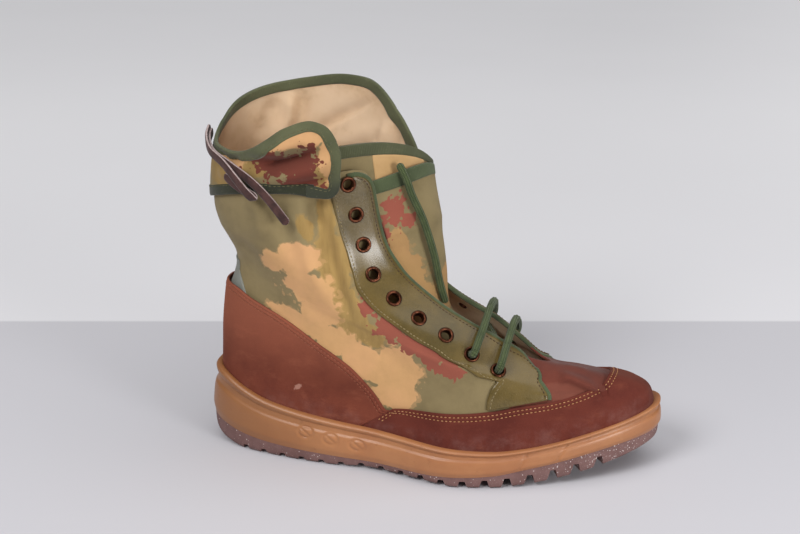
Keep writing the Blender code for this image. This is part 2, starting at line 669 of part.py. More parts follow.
def make_insole(collection):
    inset, thickness, count = 10.4, 3.0, 56
    loops = [sole_ring(inset, lambda x, up=up: sole_height("footbed", x) + GAP + up, count)
             for up in (0.0, thickness)]
    return lofted("insole", loops, "lining", collection)


def make_upper(collection):
    levels = np.concatenate([np.linspace(0, THROAT_RING, 11), [5.12, 5.4], np.linspace(5.7, 8.7, 11),
                             np.linspace(9.2, TOP_RING, 4)])
    turns = np.linspace(1, -1, 2 * UPPER_COLUMNS + 1)
    level, turn = np.meshgrid(levels, turns, indexing="ij")
    side = np.where(turn < 0, LATERAL, MEDIAL)
    points = skin(level, np.abs(turn) * edge_angle(levels)[:, None], side)
    return shell("upper", points, CANVAS_WALL, "canvas", collection, outward=False, weld=0.02)


def upper_angles():
    """Angles of the upper's own columns below the throat, which the suede pieces share."""
    return np.linspace(0, math.pi, UPPER_COLUMNS + 1)


def make_rand(collection):
    half = np.array([a for a in upper_angles() if a > SUEDE_SPLIT + 0.05])
    half = np.concatenate([[SUEDE_SPLIT + 0.006], half])
    angle = np.concatenate([half, half[-2::-1]])
    side = np.concatenate([np.full(len(half), LATERAL), np.full(len(half) - 1, MEDIAL)])
    top = rand_level(angle, side)
    share = np.linspace(0, 1, 7)[:, None]
    level = 0.05 + (top[None] - 0.05) * share
    points = off_skin(level, np.broadcast_to(angle, level.shape), side, np.full(level.shape, GAP))
    return shell("toe_rand", points, SUEDE, "suede", collection)


def make_counter(collection):
    half = np.array([a for a in upper_angles() if a < SUEDE_SPLIT - 0.05])
    half = np.concatenate([half, [SUEDE_SPLIT - 0.006]])
    angle = np.concatenate([half[::-1], half[1:]])
    side = np.concatenate([np.full(len(half), MEDIAL), np.full(len(half) - 1, LATERAL)])
    top = counter_level(angle, side)
    share = np.linspace(0, 1, 9)[:, None]
    level = 0.05 + (top[None] - 0.05) * share
    flare = COUNTER_FLARE * share ** 5 * np.clip(np.cos(angle * 1.6), 0, 1)
    points = off_skin(level, np.broadcast_to(angle, level.shape), side, GAP + flare)
    return shell("heel_counter", points, SUEDE, "suede", collection)


def make_eyestay(side, collection):
    level, angle = stay_patch(40, 5, side)
    if side == LATERAL:
        level, angle = level[:, ::-1], angle[:, ::-1]
    slack = np.clip((skin(level, angle, side)[..., 0] - LOWEST_EYELET_X) / 15, 0, 1)
    points = off_skin(level, angle, side, GAP + slack * (INNER_LEG_SLACK if side == MEDIAL else 0))
    name = "eyestay_lateral" if side == LATERAL else "eyestay_medial"
    return shell(name, points, EYESTAY_LEATHER, "leather", collection)


def eyelet_mesh():
    """Turned ring profile, down its outer side and back up through the hole."""
    profile = ((EYELET_HOLE, 0.0), (EYELET_HOLE + 0.3, EYELET_HEIGHT), (EYELET_RADIUS - 0.7, EYELET_HEIGHT),
               (EYELET_RADIUS, 0.0))
    ring_profile = bmesh.new()
    verts = [ring_profile.verts.new(Vector((radius * MM, 0, height * MM))) for radius, height in profile]
    for k, vert in enumerate(verts):
        ring_profile.edges.new((vert, verts[(k + 1) % len(verts)]))
    mesh = bpy.data.meshes.new("eyelet")
    ring_profile.to_mesh(mesh)
    ring_profile.free()
    return mesh


def make_eyelets(collection):
    """Rows of eyelets, each seated on its eyestay with its axis square to the leather."""
    mesh = eyelet_mesh()
    mesh.materials.append(material("copper"))
    for side, word in ((LATERAL, "lateral"), (MEDIAL, "medial")):
        places, normals, seats = eyelet_seats(side)
        places = places + normals * seats[:, None]
        for k, (place, normal) in enumerate(zip(places, normals)):
            eyelet = bpy.data.objects.new(f"eyelet_{word}_{k + 1}", mesh)
            eyelet.location = Vector(to_metres(place))
            eyelet.rotation_mode = "QUATERNION"
            eyelet.rotation_quaternion = Vector(normal).to_track_quat("Z", "Y")
            turned = eyelet.modifiers.new("turned", "SCREW")
            turned.steps = turned.render_steps = 8
            turned.use_merge_vertices = True
            turned.merge_threshold = 0.00001
            collection.objects.link(eyelet)


def make_tongue(collection):
    along, across = np.meshgrid(np.linspace(0, 1, 17), np.linspace(-1, 1, 8), indexing="ij")
    return shell("tongue", off_tongue(across, along, np.full(along.shape, TONGUE_THICKNESS / 2)),
                 TONGUE_THICKNESS, "canvas", collection, outward=False)


def make_pocket(collection):
    """Patch on the tongue whose mouth stands off to take the lace end."""
    across, along, standoff = pocket_grid(8, 5)
    return shell("tongue_pocket", off_tongue(across, along, standoff), POCKET_THICKNESS, "canvas", collection)


def make_cuff(collection):
    turns = np.linspace(CUFF[-1][0], CUFF[0][0], 35)
    share, turn = np.meshgrid(np.linspace(0, 1, 6), turns, indexing="ij")
    return shell("cuff", cuff_point(turn, share), CUFF_THICKNESS, "canvas", collection)


def cord(name, points, finish, collection):
    """Round cord along points, with closed ends."""
    curve = bpy.data.curves.new(name, "CURVE")
    curve.dimensions = "3D"
    line = curve.splines.new("POLY")
    line.points.add(len(points) - 1)
    for point, place in zip(line.points, to_metres(points)):
        point.co = (*place, 1)
    curve.bevel_depth = LACE_RADIUS * MM
    curve.bevel_resolution = 1
    curve.use_fill_caps = True
    return add_object(name, curve, finish, collection)


def make_lace_bars(collection):
    """The two laced bars at the foot of the throat, each from a near eyelet over the gap to its far partner."""
    ends = {}
    for side in (LATERAL, MEDIAL):
        places, normals, seats = (values[-2:] for values in eyelet_seats(side))
        ends[side] = places + normals * (seats + EYELET_HEIGHT)[:, None], normals
    for k, name in enumerate(("lace_bar_upper", "lace_bar_lower")):
        (near, near_up), (far, far_up) = ((ends[side][0][k], ends[side][1][k]) for side in (LATERAL, MEDIAL))
        near_edge, far_edge = (throat_edge(near[0] + 4, side) for side in (LATERAL, MEDIAL))
        middle = (near_edge + far_edge) / 2
        route = [near + near_up * 0.6, near + near_up * 5.0, near_edge + np.array([0, -2, 6.5]),
                 middle + np.array([1, 0, 13.0]), far_edge + np.array([0, 3, 9.0]),
                 far + far_up * 5.0, far + far_up * 0.6]
        cord(name, smooth_route(route, 15), "lace", collection)


def make_lace_end(collection):
    """The end that lies up the tongue, over the pocket's edge and in behind it."""
    across, along, standoff = np.array(LACE_END_ROUTE).T
    route = off_tongue(across, along, TONGUE_THICKNESS / 2 + GAP + LACE_RADIUS + standoff)
    cord("lace_end", smooth_route(route, 18), "lace", collection)


def thong_line(stations, count):
    """Middle line of a strand and the direction of its width, which lies flat on the cuff and turns over at a fold."""
    turn, height, standoff = np.array(stations).T
    middle = smooth_route(off_cuff(turn, height, CUFF_THICKNESS + standoff), count)
    along = np.gradient(middle, axis=0)
    along = along / np.linalg.norm(along, axis=-1, keepdims=True)
    outward = middle * (1, 1, 0) + (85, 0, 0)
    flat = np.cross(along, outward / np.linalg.norm(outward, axis=-1, keepdims=True))
    across = [flat[0]]
    for way in flat:
        way = way * np.sign(way @ across[-1])
        level = across[-1] * (1 - way @ way) + way
        across.append(level / np.linalg.norm(level))
    return middle, np.array(across[1:])


def make_thong(name, stations, count, collection):
    """Flat strand that lies along the outside of the cuff."""
    middle, across = thong_line(stations, count)
    across = across * THONG_WIDTH / 2
    points = np.stack([middle + across, middle, middle - across], axis=0)
    return shell(name, points, THONG_THICKNESS, "thong", collection)


def main():
    clear_scene()
    parts = new_collection("field_boot")
    cutters = new_collection("cutters")
    make_outsole(parts, cutters)
    make_midsole(parts)
    make_insole(parts)
    make_upper(parts)
    make_rand(parts)
    make_counter(parts)
    for side in (LATERAL, MEDIAL):
        make_eyestay(side, parts)
    make_eyelets(parts)
    make_tongue(parts)
    make_pocket(parts)
    make_cuff(parts)
    make_lace_bars(parts)
    make_lace_end(parts)
    make_thong("thong_long", THONG_LONG, 15, parts)
    make_thong("thong_short", THONG_SHORT, 60, parts)


SHIFT = np.zeros(3)
SHIFT = frame_shift()
main()
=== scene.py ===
"""Looks of a right-foot canvas field boot: camouflage canvas, suede rand and counter, leather eyestays
and a rubber sole.

Sizes are in millimetres until a mesh is made. +X runs to the toe, +Y to the inner side of the foot, +Z up.
"""

import math
from functools import lru_cache

import bmesh
import bpy
import numpy as np
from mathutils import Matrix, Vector


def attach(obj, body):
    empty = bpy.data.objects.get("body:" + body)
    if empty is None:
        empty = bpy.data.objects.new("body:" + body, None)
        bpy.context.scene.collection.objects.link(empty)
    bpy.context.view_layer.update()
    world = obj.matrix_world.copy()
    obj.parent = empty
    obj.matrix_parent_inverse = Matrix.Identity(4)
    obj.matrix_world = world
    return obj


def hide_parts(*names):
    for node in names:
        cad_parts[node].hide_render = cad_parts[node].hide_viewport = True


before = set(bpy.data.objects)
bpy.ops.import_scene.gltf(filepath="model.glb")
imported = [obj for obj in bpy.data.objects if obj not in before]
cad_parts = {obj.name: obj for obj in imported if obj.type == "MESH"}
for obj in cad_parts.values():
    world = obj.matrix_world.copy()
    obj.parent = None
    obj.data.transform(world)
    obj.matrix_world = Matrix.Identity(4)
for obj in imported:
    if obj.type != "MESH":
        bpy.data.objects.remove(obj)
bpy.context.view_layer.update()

MM = 0.001
LATERAL, MEDIAL = -1, 1

# Driving sizes
SOLE_LENGTH = 300.0
HEEL_ROUND, OUTER_TOE_ROUND, INNER_TOE_ROUND = 2.6, 2.15, 2.7
CANVAS_WALL = 1.8
SUEDE = 1.4
EYESTAY_LEATHER = 1.4
GAP = 0.6
LACE_RADIUS = 2.5
EYELET_COUNT = 9
EYELET_RADIUS, EYELET_HEIGHT, EYELET_LIFT = 4.7, 1.1, 0.45
THONG_WIDTH, THONG_THICKNESS = 5.4, 1.6
LUG_PITCH, FIRST_LUG_X, LUG_COUNT = 13.94, -121.0, 18

# Sole outline: place along the foot, half width, centre line's offset to the inner side
OUTLINE_X = (-150, -100, -40, 30, 90, 150)
OUTLINE_HALF = (41, 41, 37.8, 53.3, 49, 44)
OUTLINE_CENTRE = (0, 0, -3.4, -0.8, 4.6, 13.4)

# Sole heights: place, underside with heel bevel, arch and toe spring, top of the outsole, footbed, rim
SOLE_HEIGHTS = {
    "x": (-150, -138, -122, -100, -60, -30, 0, 30, 52, 70, 90, 110, 130, 150),
    "underside": (8, 3, 0, 0, 0, 1.8, 1.8, 0, 0, 1.2, 4.2, 8.4, 14, 20.5),
    "outsole_top": (20, 16, 12, 9.4, 7.4, 6.6, 6.6, 7.6, 9, 12.4, 16.2, 20.6, 24.6, 28),
    "footbed": (34, 31, 28, 25, 21, 18, 16, 15, 15.6, 18.4, 22, 26.4, 30.6, 34.4),
    "rim": (55, 51.5, 45, 38.2, 32, 29, 27.4, 25.4, 24.6, 26, 29.4, 34, 39, 44.5),
}

CUP_INSET = 4.2

# Rings of the upper, feather edge to collar. inset follows the sole's own outline; otherwise four half widths
# at the shares RING_SHARES from back to front. dip lowers the sides of the vamp, bed follows the footbed's
# curve, swing follows the foot's curved centre line.
RING_COLUMNS = ("inset", "back_x", "back_z", "front_x", "front_z", "rear", "mid", "fore", "front",
                "front_round", "inner_round", "dip", "bed", "swing")
RING_SHARES = (0.15, 0.40, 0.65, 0.88)
RINGS = (
    (7.4, -142.6, 33.0, 142.6, 33.6, 0, 0, 0, 0, 2.15, 0, 0, 1.0, 1.0),
    (8.8, -141.2, 57.0, 141.2, 48.0, 0, 0, 0, 0, 2.15, 0, 0, 0.8, 1.0),
    (None, -140.0, 80.0, 133.5, 58.5, 34.5, 32.5, 41.5, 39.0, 2.2, 0.45, 3.0, 0.4, 1.0),
    (None, -136.0, 105.0, 118.5, 64.8, 33.5, 34.0, 40.0, 37.5, 2.2, 0.4, 8.0, 0.15, 0.9),
    (None, -131.0, 118.0, 100.0, 69.0, 34.0, 36.0, 40.0, 37.0, 2.25, 0.3, 9.0, 0, 0.8),
    (None, -128.8, 127.0, 80.0, 72.3, 35.0, 38.0, 39.5, 38.0, 2.4, 0.2, 8.0, 0, 0.6),
    (None, -129.5, 135.0, 50.0, 90.0, 36.5, 39.5, 39.0, 36.0, 2.3, 0.1, 5.0, 0, 0.4),
    (None, -134.0, 146.0, 20.0, 107.5, 38.0, 40.5, 38.5, 34.0, 2.2, 0, 3.0, 0, 0.2),
    (None, -139.0, 157.0, -8.0, 130.0, 39.5, 41.5, 38.5, 34.0, 2.2, 0, 0, 0, 0),
    (None, -141.2, 169.0, -20.0, 152.0, 40.5, 42.5, 39.5, 35.0, 2.2, 0, 0, 0, 0),
    (None, -141.0, 181.0, -25.5, 182.0, 41.0, 43.0, 41.0, 37.0, 2.2, 0, 0, 0, 0),
    (None, -140.5, 191.0, -27.5, 198.0, 41.0, 43.5, 41.5, 38.0, 2.2, 0, 0, 0, 0),
)
BACK_ROUND = 2.4
TOP_RING = len(RINGS) - 1
# Slump of the vamp's inner side: place along the foot, and how far it has sunk
SLUMP_X = (40, 58, 72, 82, 95, 110, 122, 132, 143)
SLUMP = (0, 3.0, 6.6, 7.4, 6.0, 5.4, 4.6, 3.2, 0)
# It sets in from a place across the foot and from a height, each over a distance
SLUMP_ACROSS, SLUMP_UP = (-10, 30), (44, 16)
THROAT_RING = 5

# Half width of the throat slit by ring
THROAT_RINGS = (5.0, 5.12, 5.4, 6.0, 7.0, 9.0, 11.0)
THROAT_HALF = (0.0, 8.0, 13.0, 16.0, 17.0, 18.5, 21.0)

# Upper edges of the suede pieces, seen from the side
RAND_EDGE_X = (-40, -22, -4, 22, 48, 65, 84, 97, 107, 112, 115, 117, 119, 128)
RAND_EDGE_Z = (40, 42.5, 45.6, 46.8, 49.4, 52.4, 54.6, 57, 59.2, 60.2, 62, 65, 69, 78)
COUNTER_EDGE_X = (-145, -126, -113, -91, -65, -45, -32, -22)
COUNTER_EDGE_Z = (113, 112, 107, 97.5, 82.5, 70, 56, 42)
SUEDE_SPLIT = 9 * math.pi / 21
COUNTER_FLARE = 2.4

# Eyestay: front leg down to the rand, then stations up the throat edge with the rear edge beside them
LEG_FRONT = ((82.0, 56.0), (75.6, 65.4), (68.8, 73.2))
LEG_REAR = ((45.0, 50.6), (45.2, 56.0), (47.0, 63.0))
STAY_EDGE_Z = (80.5, 87.5, 95, 101, 108, 117, 128, 139, 151, 167, 183, 196)
STAY_REAR_X = (50, 38, 26, 13, -1, -13, -26, -37, -43.5, -48.5, -53, -55.5)
STAY_REAR_Z = (68, 71.5, 78, 85, 93, 101, 110, 121, 136, 152, 172, 190)
LOWEST_EYELET_X, HIGHEST_EYELET_Z = 50.5, 189.0
EYELET_ACROSS = 0.56

# Tongue from the vamp to its free top: middle line, then the tucked near edge and the free far edge
TONGUE_COLUMNS = ("mid_x", "mid_z", "near_x", "near_y", "near_z", "far_x", "far_y", "far_z")
TONGUE = (
    (78, 68.4, 78, -10, 67.2, 78, 12, 67.2),
    (58, 71, 57, -18, 67, 57, 20, 67),
    (36, 77, 34, -24, 72, 35, 25, 73),
    (16, 87, 10, -26, 83, 17, 20, 86),
    (5, 102, -9, -27, 100, 9, 13, 101),
    (-2, 125, -33, -27, 125, 6, 18, 125),
    (-9, 152, -47, -28, 153, 1, 24, 152),
    (-17, 178, -52, -28, 180, -3, 25, 175),
    (-22, 208, -53, -28, 211, -5, 25, 193),
)
TONGUE_MID_Y = 3.0
TONGUE_THICKNESS = 2.0

# Lace pocket on the tongue: spans across and along the tongue, and how far its mouth stands off
POCKET_ACROSS = (-0.56, 0.96)
POCKET_ALONG = (0.68, 0.905)
POCKET_TILT = 0.07
POCKET_THICKNESS, POCKET_MOUTH = 1.0, 3.0
# Band at the pocket's mouth by share up the pocket, and binding and bare patch by shares of the tongue
BAND_FOOT, BAND_TALL = 0.855, 0.155
BINDING_FOOT, BINDING_TALL = 0.970, 0.034
PATCH_ALONG, PATCH_ACROSS = (0.86, 0.975), (-0.50, 0.62)

# Cuff stations from the near front edge round the back to the far front edge: turn round the shaft,
# height of the seam and of the top, then outward and forward offsets low and high
CUFF_COLUMNS = ("turn", "seam_z", "top_z", "low_out", "top_out", "low_fwd", "top_fwd")
CUFF = (
    (-0.83, 181, 218.5, 4.4, 1.0, 0, 2),
    (-0.78, 182, 225.5, 3.4, -1.0, 0, 1),
    (-0.72, 183, 228, 2.2, -3.0, 0, 0),
    (-0.62, 184.5, 224, 0.9, -1.5, 0, 0),
    (-0.50, 183.5, 212, 0.9, 1.0, 0, 0),
    (-0.38, 181, 207.5, 0.9, 1.0, 0, 0),
    (-0.25, 177, 208, 0.9, -1.0, 0, 0),
    (-0.10, 172.5, 212, 0.9, -4.5, 0, 0),
    (0.00, 171.5, 218, 0.9, -6.0, 0, 0),
    (0.12, 172.5, 225, 0.9, -5.5, 0, 0),
    (0.30, 177, 233, 0.9, -2.0, 0, 2),
    (0.50, 182, 238, 0.9, 1.0, 0, 2),
    (0.70, 183.5, 242, 0.9, 2.5, 0, 2),
    (0.80, 184, 241, 2.6, 3.4, 4, 3),
    (0.89, 184, 237, 4.2, 5.0, 12, 4),
    (0.97, 184, 230, 5.2, 7.0, 23, 5),
)
CUFF_THICKNESS = 1.2
NEAR_TURN, FAR_TURN = CUFF[0][0], CUFF[-1][0]
# Height up to which the cuff follows the shaft's own face
CUFF_FOLLOWS_TO = 189.0

# Lace end lying up the tongue, over the pocket's mouth: share across and along the tongue, standoff
LACE_END_ROUTE = ((0.12, 0.50, 0.0), (0.13, 0.58, 0.4), (0.10, 0.68, 2.6), (0.04, 0.78, 3.8),
                  (-0.04, 0.86, 5.0), (-0.10, 0.915, 5.4), (-0.15, 0.95, 2.8))

# Thong strands, each from the back of the cuff forward over it: turn, height, standoff. The long one hangs to
# a tip, the short one lies on it, then folds under itself and runs back up.
THONG_LONG = ((-0.035, 212.5, 3.6), (-0.12, 208.5, 2.4), (-0.25, 204.0, 1.2), (-0.39, 199.0, 1.6),
              (-0.49, 191.5, 2.8), (-0.555, 181.0, 3.4), (-0.622, 166.5, 3.2))
THONG_SHORT = ((-0.045, 215.0, 5.8), (-0.13, 210.3, 4.8), (-0.245, 205.5, 3.6), (-0.355, 201.0, 4.0),
               (-0.425, 194.0, 6.0), (-0.475, 186.3, 7.0), (-0.492, 183.2, 6.6), (-0.496, 182.0, 5.4),
               (-0.487, 183.0, 4.2), (-0.440, 185.8, 3.7), (-0.392, 189.2, 3.5), (-0.347, 192.5, 3.3))

SHAFT_AXIS_X = -85.0
SHIFT = np.array([0.0, 0.6286, 0.0])


def unit(vectors):
    return vectors / np.linalg.norm(vectors, axis=-1, keepdims=True)


def grid_of(rows, columns):
    """Two grids: the values of rows down them, and the values of columns across them."""
    return np.meshgrid(rows, columns, indexing="ij")


def run_along(line):
    """Length along a line of points at each of them."""
    return np.concatenate([[0], np.cumsum(np.linalg.norm(np.diff(line, axis=0), axis=1))])


def points_at(wanted, run, line):
    """Points of a line at wanted lengths along it."""
    return np.stack([np.interp(wanted, run, line[:, k]) for k in range(3)], axis=-1)


def from_shaft(points):
    """Level directions from the shaft's axis to points."""
    return points * (1, 1, 0) - (SHAFT_AXIS_X, 0, 0)


def columns_of(names, table):
    """A table's columns by their names."""
    return dict(zip(names, np.array(table, float).T))


def ramp(stations, values, place):
    """Monotone cubic through a table's column, or through a separate column for each place."""
    stations = np.asarray(stations, float)
    place = np.clip(np.atleast_1d(np.asarray(place, float)), stations[0], stations[-1])
    values = np.asarray(values, float)
    if values.ndim == 1:
        values = np.repeat(values[:, None], len(place), axis=1)
    step = np.diff(stations)[:, None]
    slope = np.diff(values, axis=0) / step
    tangent = np.empty_like(values)
    tangent[0], tangent[-1] = slope[0], slope[-1]
    before, after = slope[:-1], slope[1:]
    same_way = before * after > 0
    weight_a, weight_b = 2 * step[1:] + step[:-1], step[1:] + 2 * step[:-1]
    with np.errstate(divide="ignore", invalid="ignore"):
        mean = (weight_a + weight_b) / (weight_a / before + weight_b / after)
    tangent[1:-1] = np.where(same_way, mean, 0)
    k = np.clip(np.searchsorted(stations, place, side="right") - 1, 0, len(stations) - 2)
    i = np.arange(len(place))
    h = step[k, 0]
    t = (place - stations[k]) / h
    return ((1 + 2 * t) * (1 - t) ** 2 * values[k, i] + t * (1 - t) ** 2 * h * tangent[k, i]
            + t * t * (3 - 2 * t) * values[k + 1, i] - t * t * (1 - t) * h * tangent[k + 1, i])


def sole_height(column, x):
    return ramp(SOLE_HEIGHTS["x"], SOLE_HEIGHTS[column], x)


def centre_line(x):
    return ramp(OUTLINE_X, OUTLINE_CENTRE, x)


def sole_half(x, inset, side):
    """Half width of one side of the sole's outline drawn in by inset. The toe is fuller on the inner side."""
    reach = SOLE_LENGTH / 2 - inset
    share = np.clip(np.abs(x) / reach, 0, 1)
    toe_round = np.where(np.asarray(side) < 0, OUTER_TOE_ROUND, INNER_TOE_ROUND)
    power = np.where(x < 0, HEEL_ROUND, toe_round)
    return (ramp(OUTLINE_X, OUTLINE_HALF, x) - inset) * (1 - share ** power) ** (1 / power)


def sole_loop(inset, count):
    """Points x, y of the sole's outline drawn in by inset, from the heel along the inner side and back."""
    turn = np.arange(count) * 2 * math.pi / count
    x = -(SOLE_LENGTH / 2 - inset) * np.cos(turn)
    side = np.where(turn <= math.pi, MEDIAL, LATERAL)
    return x, centre_line(x) + side * sole_half(x, inset, side)


def ring(row):
    return dict(zip(RING_COLUMNS, row))


def skin(level, angle, side):
    """Points of the upper's outer face: ring level, angle from the heel (0) to the front (pi), side."""
    level, angle = np.broadcast_arrays(np.asarray(level, float), np.asarray(angle, float))
    shape = level.shape
    level, angle = level.ravel(), angle.ravel()
    side = np.broadcast_to(side, shape).ravel()
    share = (1 - np.cos(angle)) / 2
    xs, ys, zs = [], [], []
    for row in map(ring, RINGS):
        x = row["back_x"] + (row["front_x"] - row["back_x"]) * share
        if row["inset"] is not None:
            half = sole_half(x, row["inset"], side)
        else:
            widths = [row[name] for name in ("rear", "mid", "fore", "front")]
            front_round = row["front_round"] + np.where(side > 0, row["inner_round"], 0)
            power = np.where(share < 0.5, BACK_ROUND, front_round)
            ends = (1 - np.abs(2 * share - 1) ** power) ** (1 / power)
            half = ramp(RING_SHARES, widths, share) * ends
        beds = sole_height("footbed", np.array([row["back_x"], row["front_x"]]))
        bed_dip = sole_height("footbed", x) - (beds[0] + (beds[1] - beds[0]) * share)
        xs.append(x)
        ys.append(centre_line(x) * row["swing"] + side * half)
        zs.append(row["back_z"] + (row["front_z"] - row["back_z"]) * share
                  - row["dip"] * np.sin(math.pi * share ** 3) + row["bed"] * bed_dip)
    rows = np.arange(len(RINGS))
    point = [ramp(rows, np.array(values), level) for values in (xs, ys, zs)]
    return np.stack(point, axis=-1).reshape(shape + (3,))


def skin_normal(level, angle, side):
    """Outward normal of the upper's face."""
    step = 0.004
    above, below = np.minimum(level + step, TOP_RING), np.maximum(level - step, 0)
    ahead, behind = np.minimum(angle + step, math.pi), np.maximum(angle - step, 0)
    up = skin(above, angle, side) - skin(below, angle, side)
    along = skin(level, ahead, side) - skin(level, behind, side)
    return unit(np.cross(up, along) * np.asarray(side)[..., None])


def off_skin(level, angle, side, distance):
    """Points at a distance outside the upper's face."""
    side = np.broadcast_to(side, np.shape(level))
    return skin(level, angle, side) + skin_normal(level, angle, side) * np.asarray(distance)[..., None]


def solve(low, high, is_past, rounds=26):
    """Bisection for arrays: the place between low and high where is_past turns true."""
    low, high = np.array(low, float), np.array(high, float)
    for _ in range(rounds):
        middle = (low + high) / 2
        past = is_past(middle)
        high = np.where(past, middle, high)
        low = np.where(past, low, middle)
    return (low + high) / 2


@lru_cache(maxsize=None)
def throat_table():
    """Rings of the throat, and the angle at which each meets the throat's edge."""
    levels = np.concatenate([np.linspace(THROAT_RING, 5.5, 60), np.linspace(5.55, TOP_RING, 110)])
    half = ramp(THROAT_RINGS, THROAT_HALF, levels)

    def past(angle):
        return skin(levels, angle, MEDIAL)[..., 1] - skin(levels, angle, LATERAL)[..., 1] < 2 * half

    return levels, solve(np.full(levels.shape, math.pi / 2), np.full(levels.shape, math.pi), past)


def edge_angle(level):
    """Angle at which a ring meets the throat's edge, pi below the throat. The top corner is rounded."""
    level = np.asarray(level, float)
    near_top = np.clip(1 - (TOP_RING - level) * 2.2, 0, 1)
    drawn_in = 0.2 * (1 - np.sqrt(1 - near_top ** 2))
    return np.where(level > THROAT_RING, np.interp(level, *throat_table()) - drawn_in, math.pi)


def throat_edge(x, side):
    """Point of the throat's edge at a place along the foot."""
    levels, angles = throat_table()
    edge = skin(levels, angles, side)
    return edge[np.argmin(np.abs(edge[:, 0] - x))]


def edge_level(height):
    """Ring at which the throat's edge reaches a height."""
    height = np.asarray(height, float)

    def past(level):
        return skin(level, edge_angle(level), LATERAL)[..., 2] > height

    return solve(np.full(height.shape, THROAT_RING + 0.02), np.full(height.shape, float(TOP_RING)), past)


def locate(x, z, side):
    """Ring level and angle of the points of one side that are seen at x, z from that side."""
    levels, angles = grid_of(np.linspace(0.2, TOP_RING - 0.1, 60), np.linspace(0.1, 2.9, 90))
    grid = skin(levels, angles, side)[..., [0, 2]].reshape(-1, 2)
    wanted = np.stack([np.asarray(x, float), np.asarray(z, float)], axis=-1)
    nearest = np.argmin(((grid[None] - wanted[:, None]) ** 2).sum(axis=-1), axis=1)
    level, angle = levels.ravel()[nearest], angles.ravel()[nearest]
    step = 1e-3
    for _ in range(12):
        here = skin(level, angle, side)[:, [0, 2]]
        by_level = (skin(level + step, angle, side)[:, [0, 2]] - here) / step
        by_angle = (skin(level, angle + step, side)[:, [0, 2]] - here) / step
        change = np.linalg.solve(np.stack([by_level, by_angle], axis=-1), (wanted - here)[..., None])[..., 0]
        change = np.clip(change, -0.3, 0.3)
        level = np.clip(level + change[:, 0], 0, TOP_RING - 2 * step)
        angle = np.clip(angle + change[:, 1], 0.05, 3.1)
    return np.stack([level, angle], axis=-1)


def suede_top(edge_x, edge_z, angle, side):
    """Ring at which a suede piece ends, for an angle, by its upper edge as seen from the side."""

    def past(level):
        point = skin(level, angle, side)
        return point[..., 2] > ramp(edge_x, edge_z, point[..., 0].ravel()).reshape(angle.shape)

    return solve(np.full(angle.shape, 0.3), np.full(angle.shape, 4.9), past)


@lru_cache(maxsize=None)
def stay_patch(rows, columns, side):
    """Levels and angles of an eyestay: rows from the rand up, columns from the throat to the rear edge."""
    leg_front = locate([p[0] for p in LEG_FRONT], [p[1] for p in LEG_FRONT], side)
    leg_rear = locate([p[0] for p in LEG_REAR], [p[1] for p in LEG_REAR], side)
    levels = edge_level(np.array(STAY_EDGE_Z, float))
    front = np.concatenate([leg_front, np.stack([levels, edge_angle(levels) - 0.004], axis=1)])
    rear = np.concatenate([leg_rear, locate(STAY_REAR_X, STAY_REAR_Z, side)])
    station = np.arange(len(front))
    place = np.linspace(0, len(front) - 1, rows)
    front = np.stack([ramp(station, front[:, k], place) for k in (0, 1)], axis=-1)
    rear = np.stack([ramp(station, rear[:, k], place) for k in (0, 1)], axis=-1)
    across = np.linspace(0, 1, columns)[None, :, None]
    patch = front[:, None] * (1 - across) + rear[:, None] * across
    return patch[..., 0], patch[..., 1]


@lru_cache(maxsize=None)
def eyelet_places(side):
    """Level and angle of each eyelet, evenly spaced down the middle of an eyestay, highest first."""
    levels, angles = stay_patch(400, 2, side)
    levels, angles = (v[:, 0] + (v[:, 1] - v[:, 0]) * EYELET_ACROSS for v in (levels, angles))
    middle = skin(levels, angles, side)
    length = run_along(middle)
    lowest = length[np.argmax(middle[:, 0] < LOWEST_EYELET_X)]
    highest = length[np.argmax(middle[:, 2] > HIGHEST_EYELET_Z)]
    wanted = np.linspace(highest, lowest, EYELET_COUNT)
    return np.interp(wanted, length, levels), np.interp(wanted, length, angles)


def eyelet_seats(side):
    """Each eyelet's point on the upper's face, normal, and underside's distance clear of the leather."""
    levels, angles = eyelet_places(side)
    sides = np.full(len(levels), side)
    places, normals = skin(levels, angles, sides), skin_normal(levels, angles, sides)
    by_level, by_angle = np.meshgrid(np.linspace(-0.5, 0.5, 25), np.linspace(-0.2, 0.2, 25))
    seats = []
    for level, angle, place, normal in zip(levels, angles, places, normals):
        around = skin(np.minimum(level + by_level, TOP_RING), angle + by_angle, side) - place
        rise = (around @ normal)[np.linalg.norm(around, axis=-1) < EYELET_RADIUS + 0.5].max()
        seats.append(GAP + EYESTAY_LEATHER + EYELET_LIFT + rise)
    return places, normals, np.array(seats)


def tongue_point(across, along):
    """Middle surface of the tongue: across from near edge (-1) to far edge (1), along from base to top."""
    across, along = np.broadcast_arrays(np.asarray(across, float), np.asarray(along, float))
    shape = across.shape
    across, along = across.ravel(), along.ravel()
    row = np.arange(len(TONGUE))
    columns = columns_of(TONGUE_COLUMNS, TONGUE)
    at = {name: ramp(row, column, along * (len(TONGUE) - 1)) for name, column in columns.items()}
    point = []
    for axis in "xyz":
        middle = TONGUE_MID_Y if axis == "y" else at["mid_" + axis]
        near, far = at["near_" + axis], at["far_" + axis]
        bow = (near + far) / 2 - middle
        point.append(middle + (far - near) / 2 * across + bow * across ** 2)
    return np.stack(point, axis=-1).reshape(shape + (3,))


def off_tongue(across, along, distance):
    """Points in front of the tongue's middle surface."""
    step = 0.01
    sideways = tongue_point(across + step, along) - tongue_point(across - step, along)
    upward = tongue_point(across, along + step) - tongue_point(across, along - step)
    normal = unit(np.cross(sideways, upward))
    return tongue_point(across, along) + normal * np.asarray(distance)[..., None]


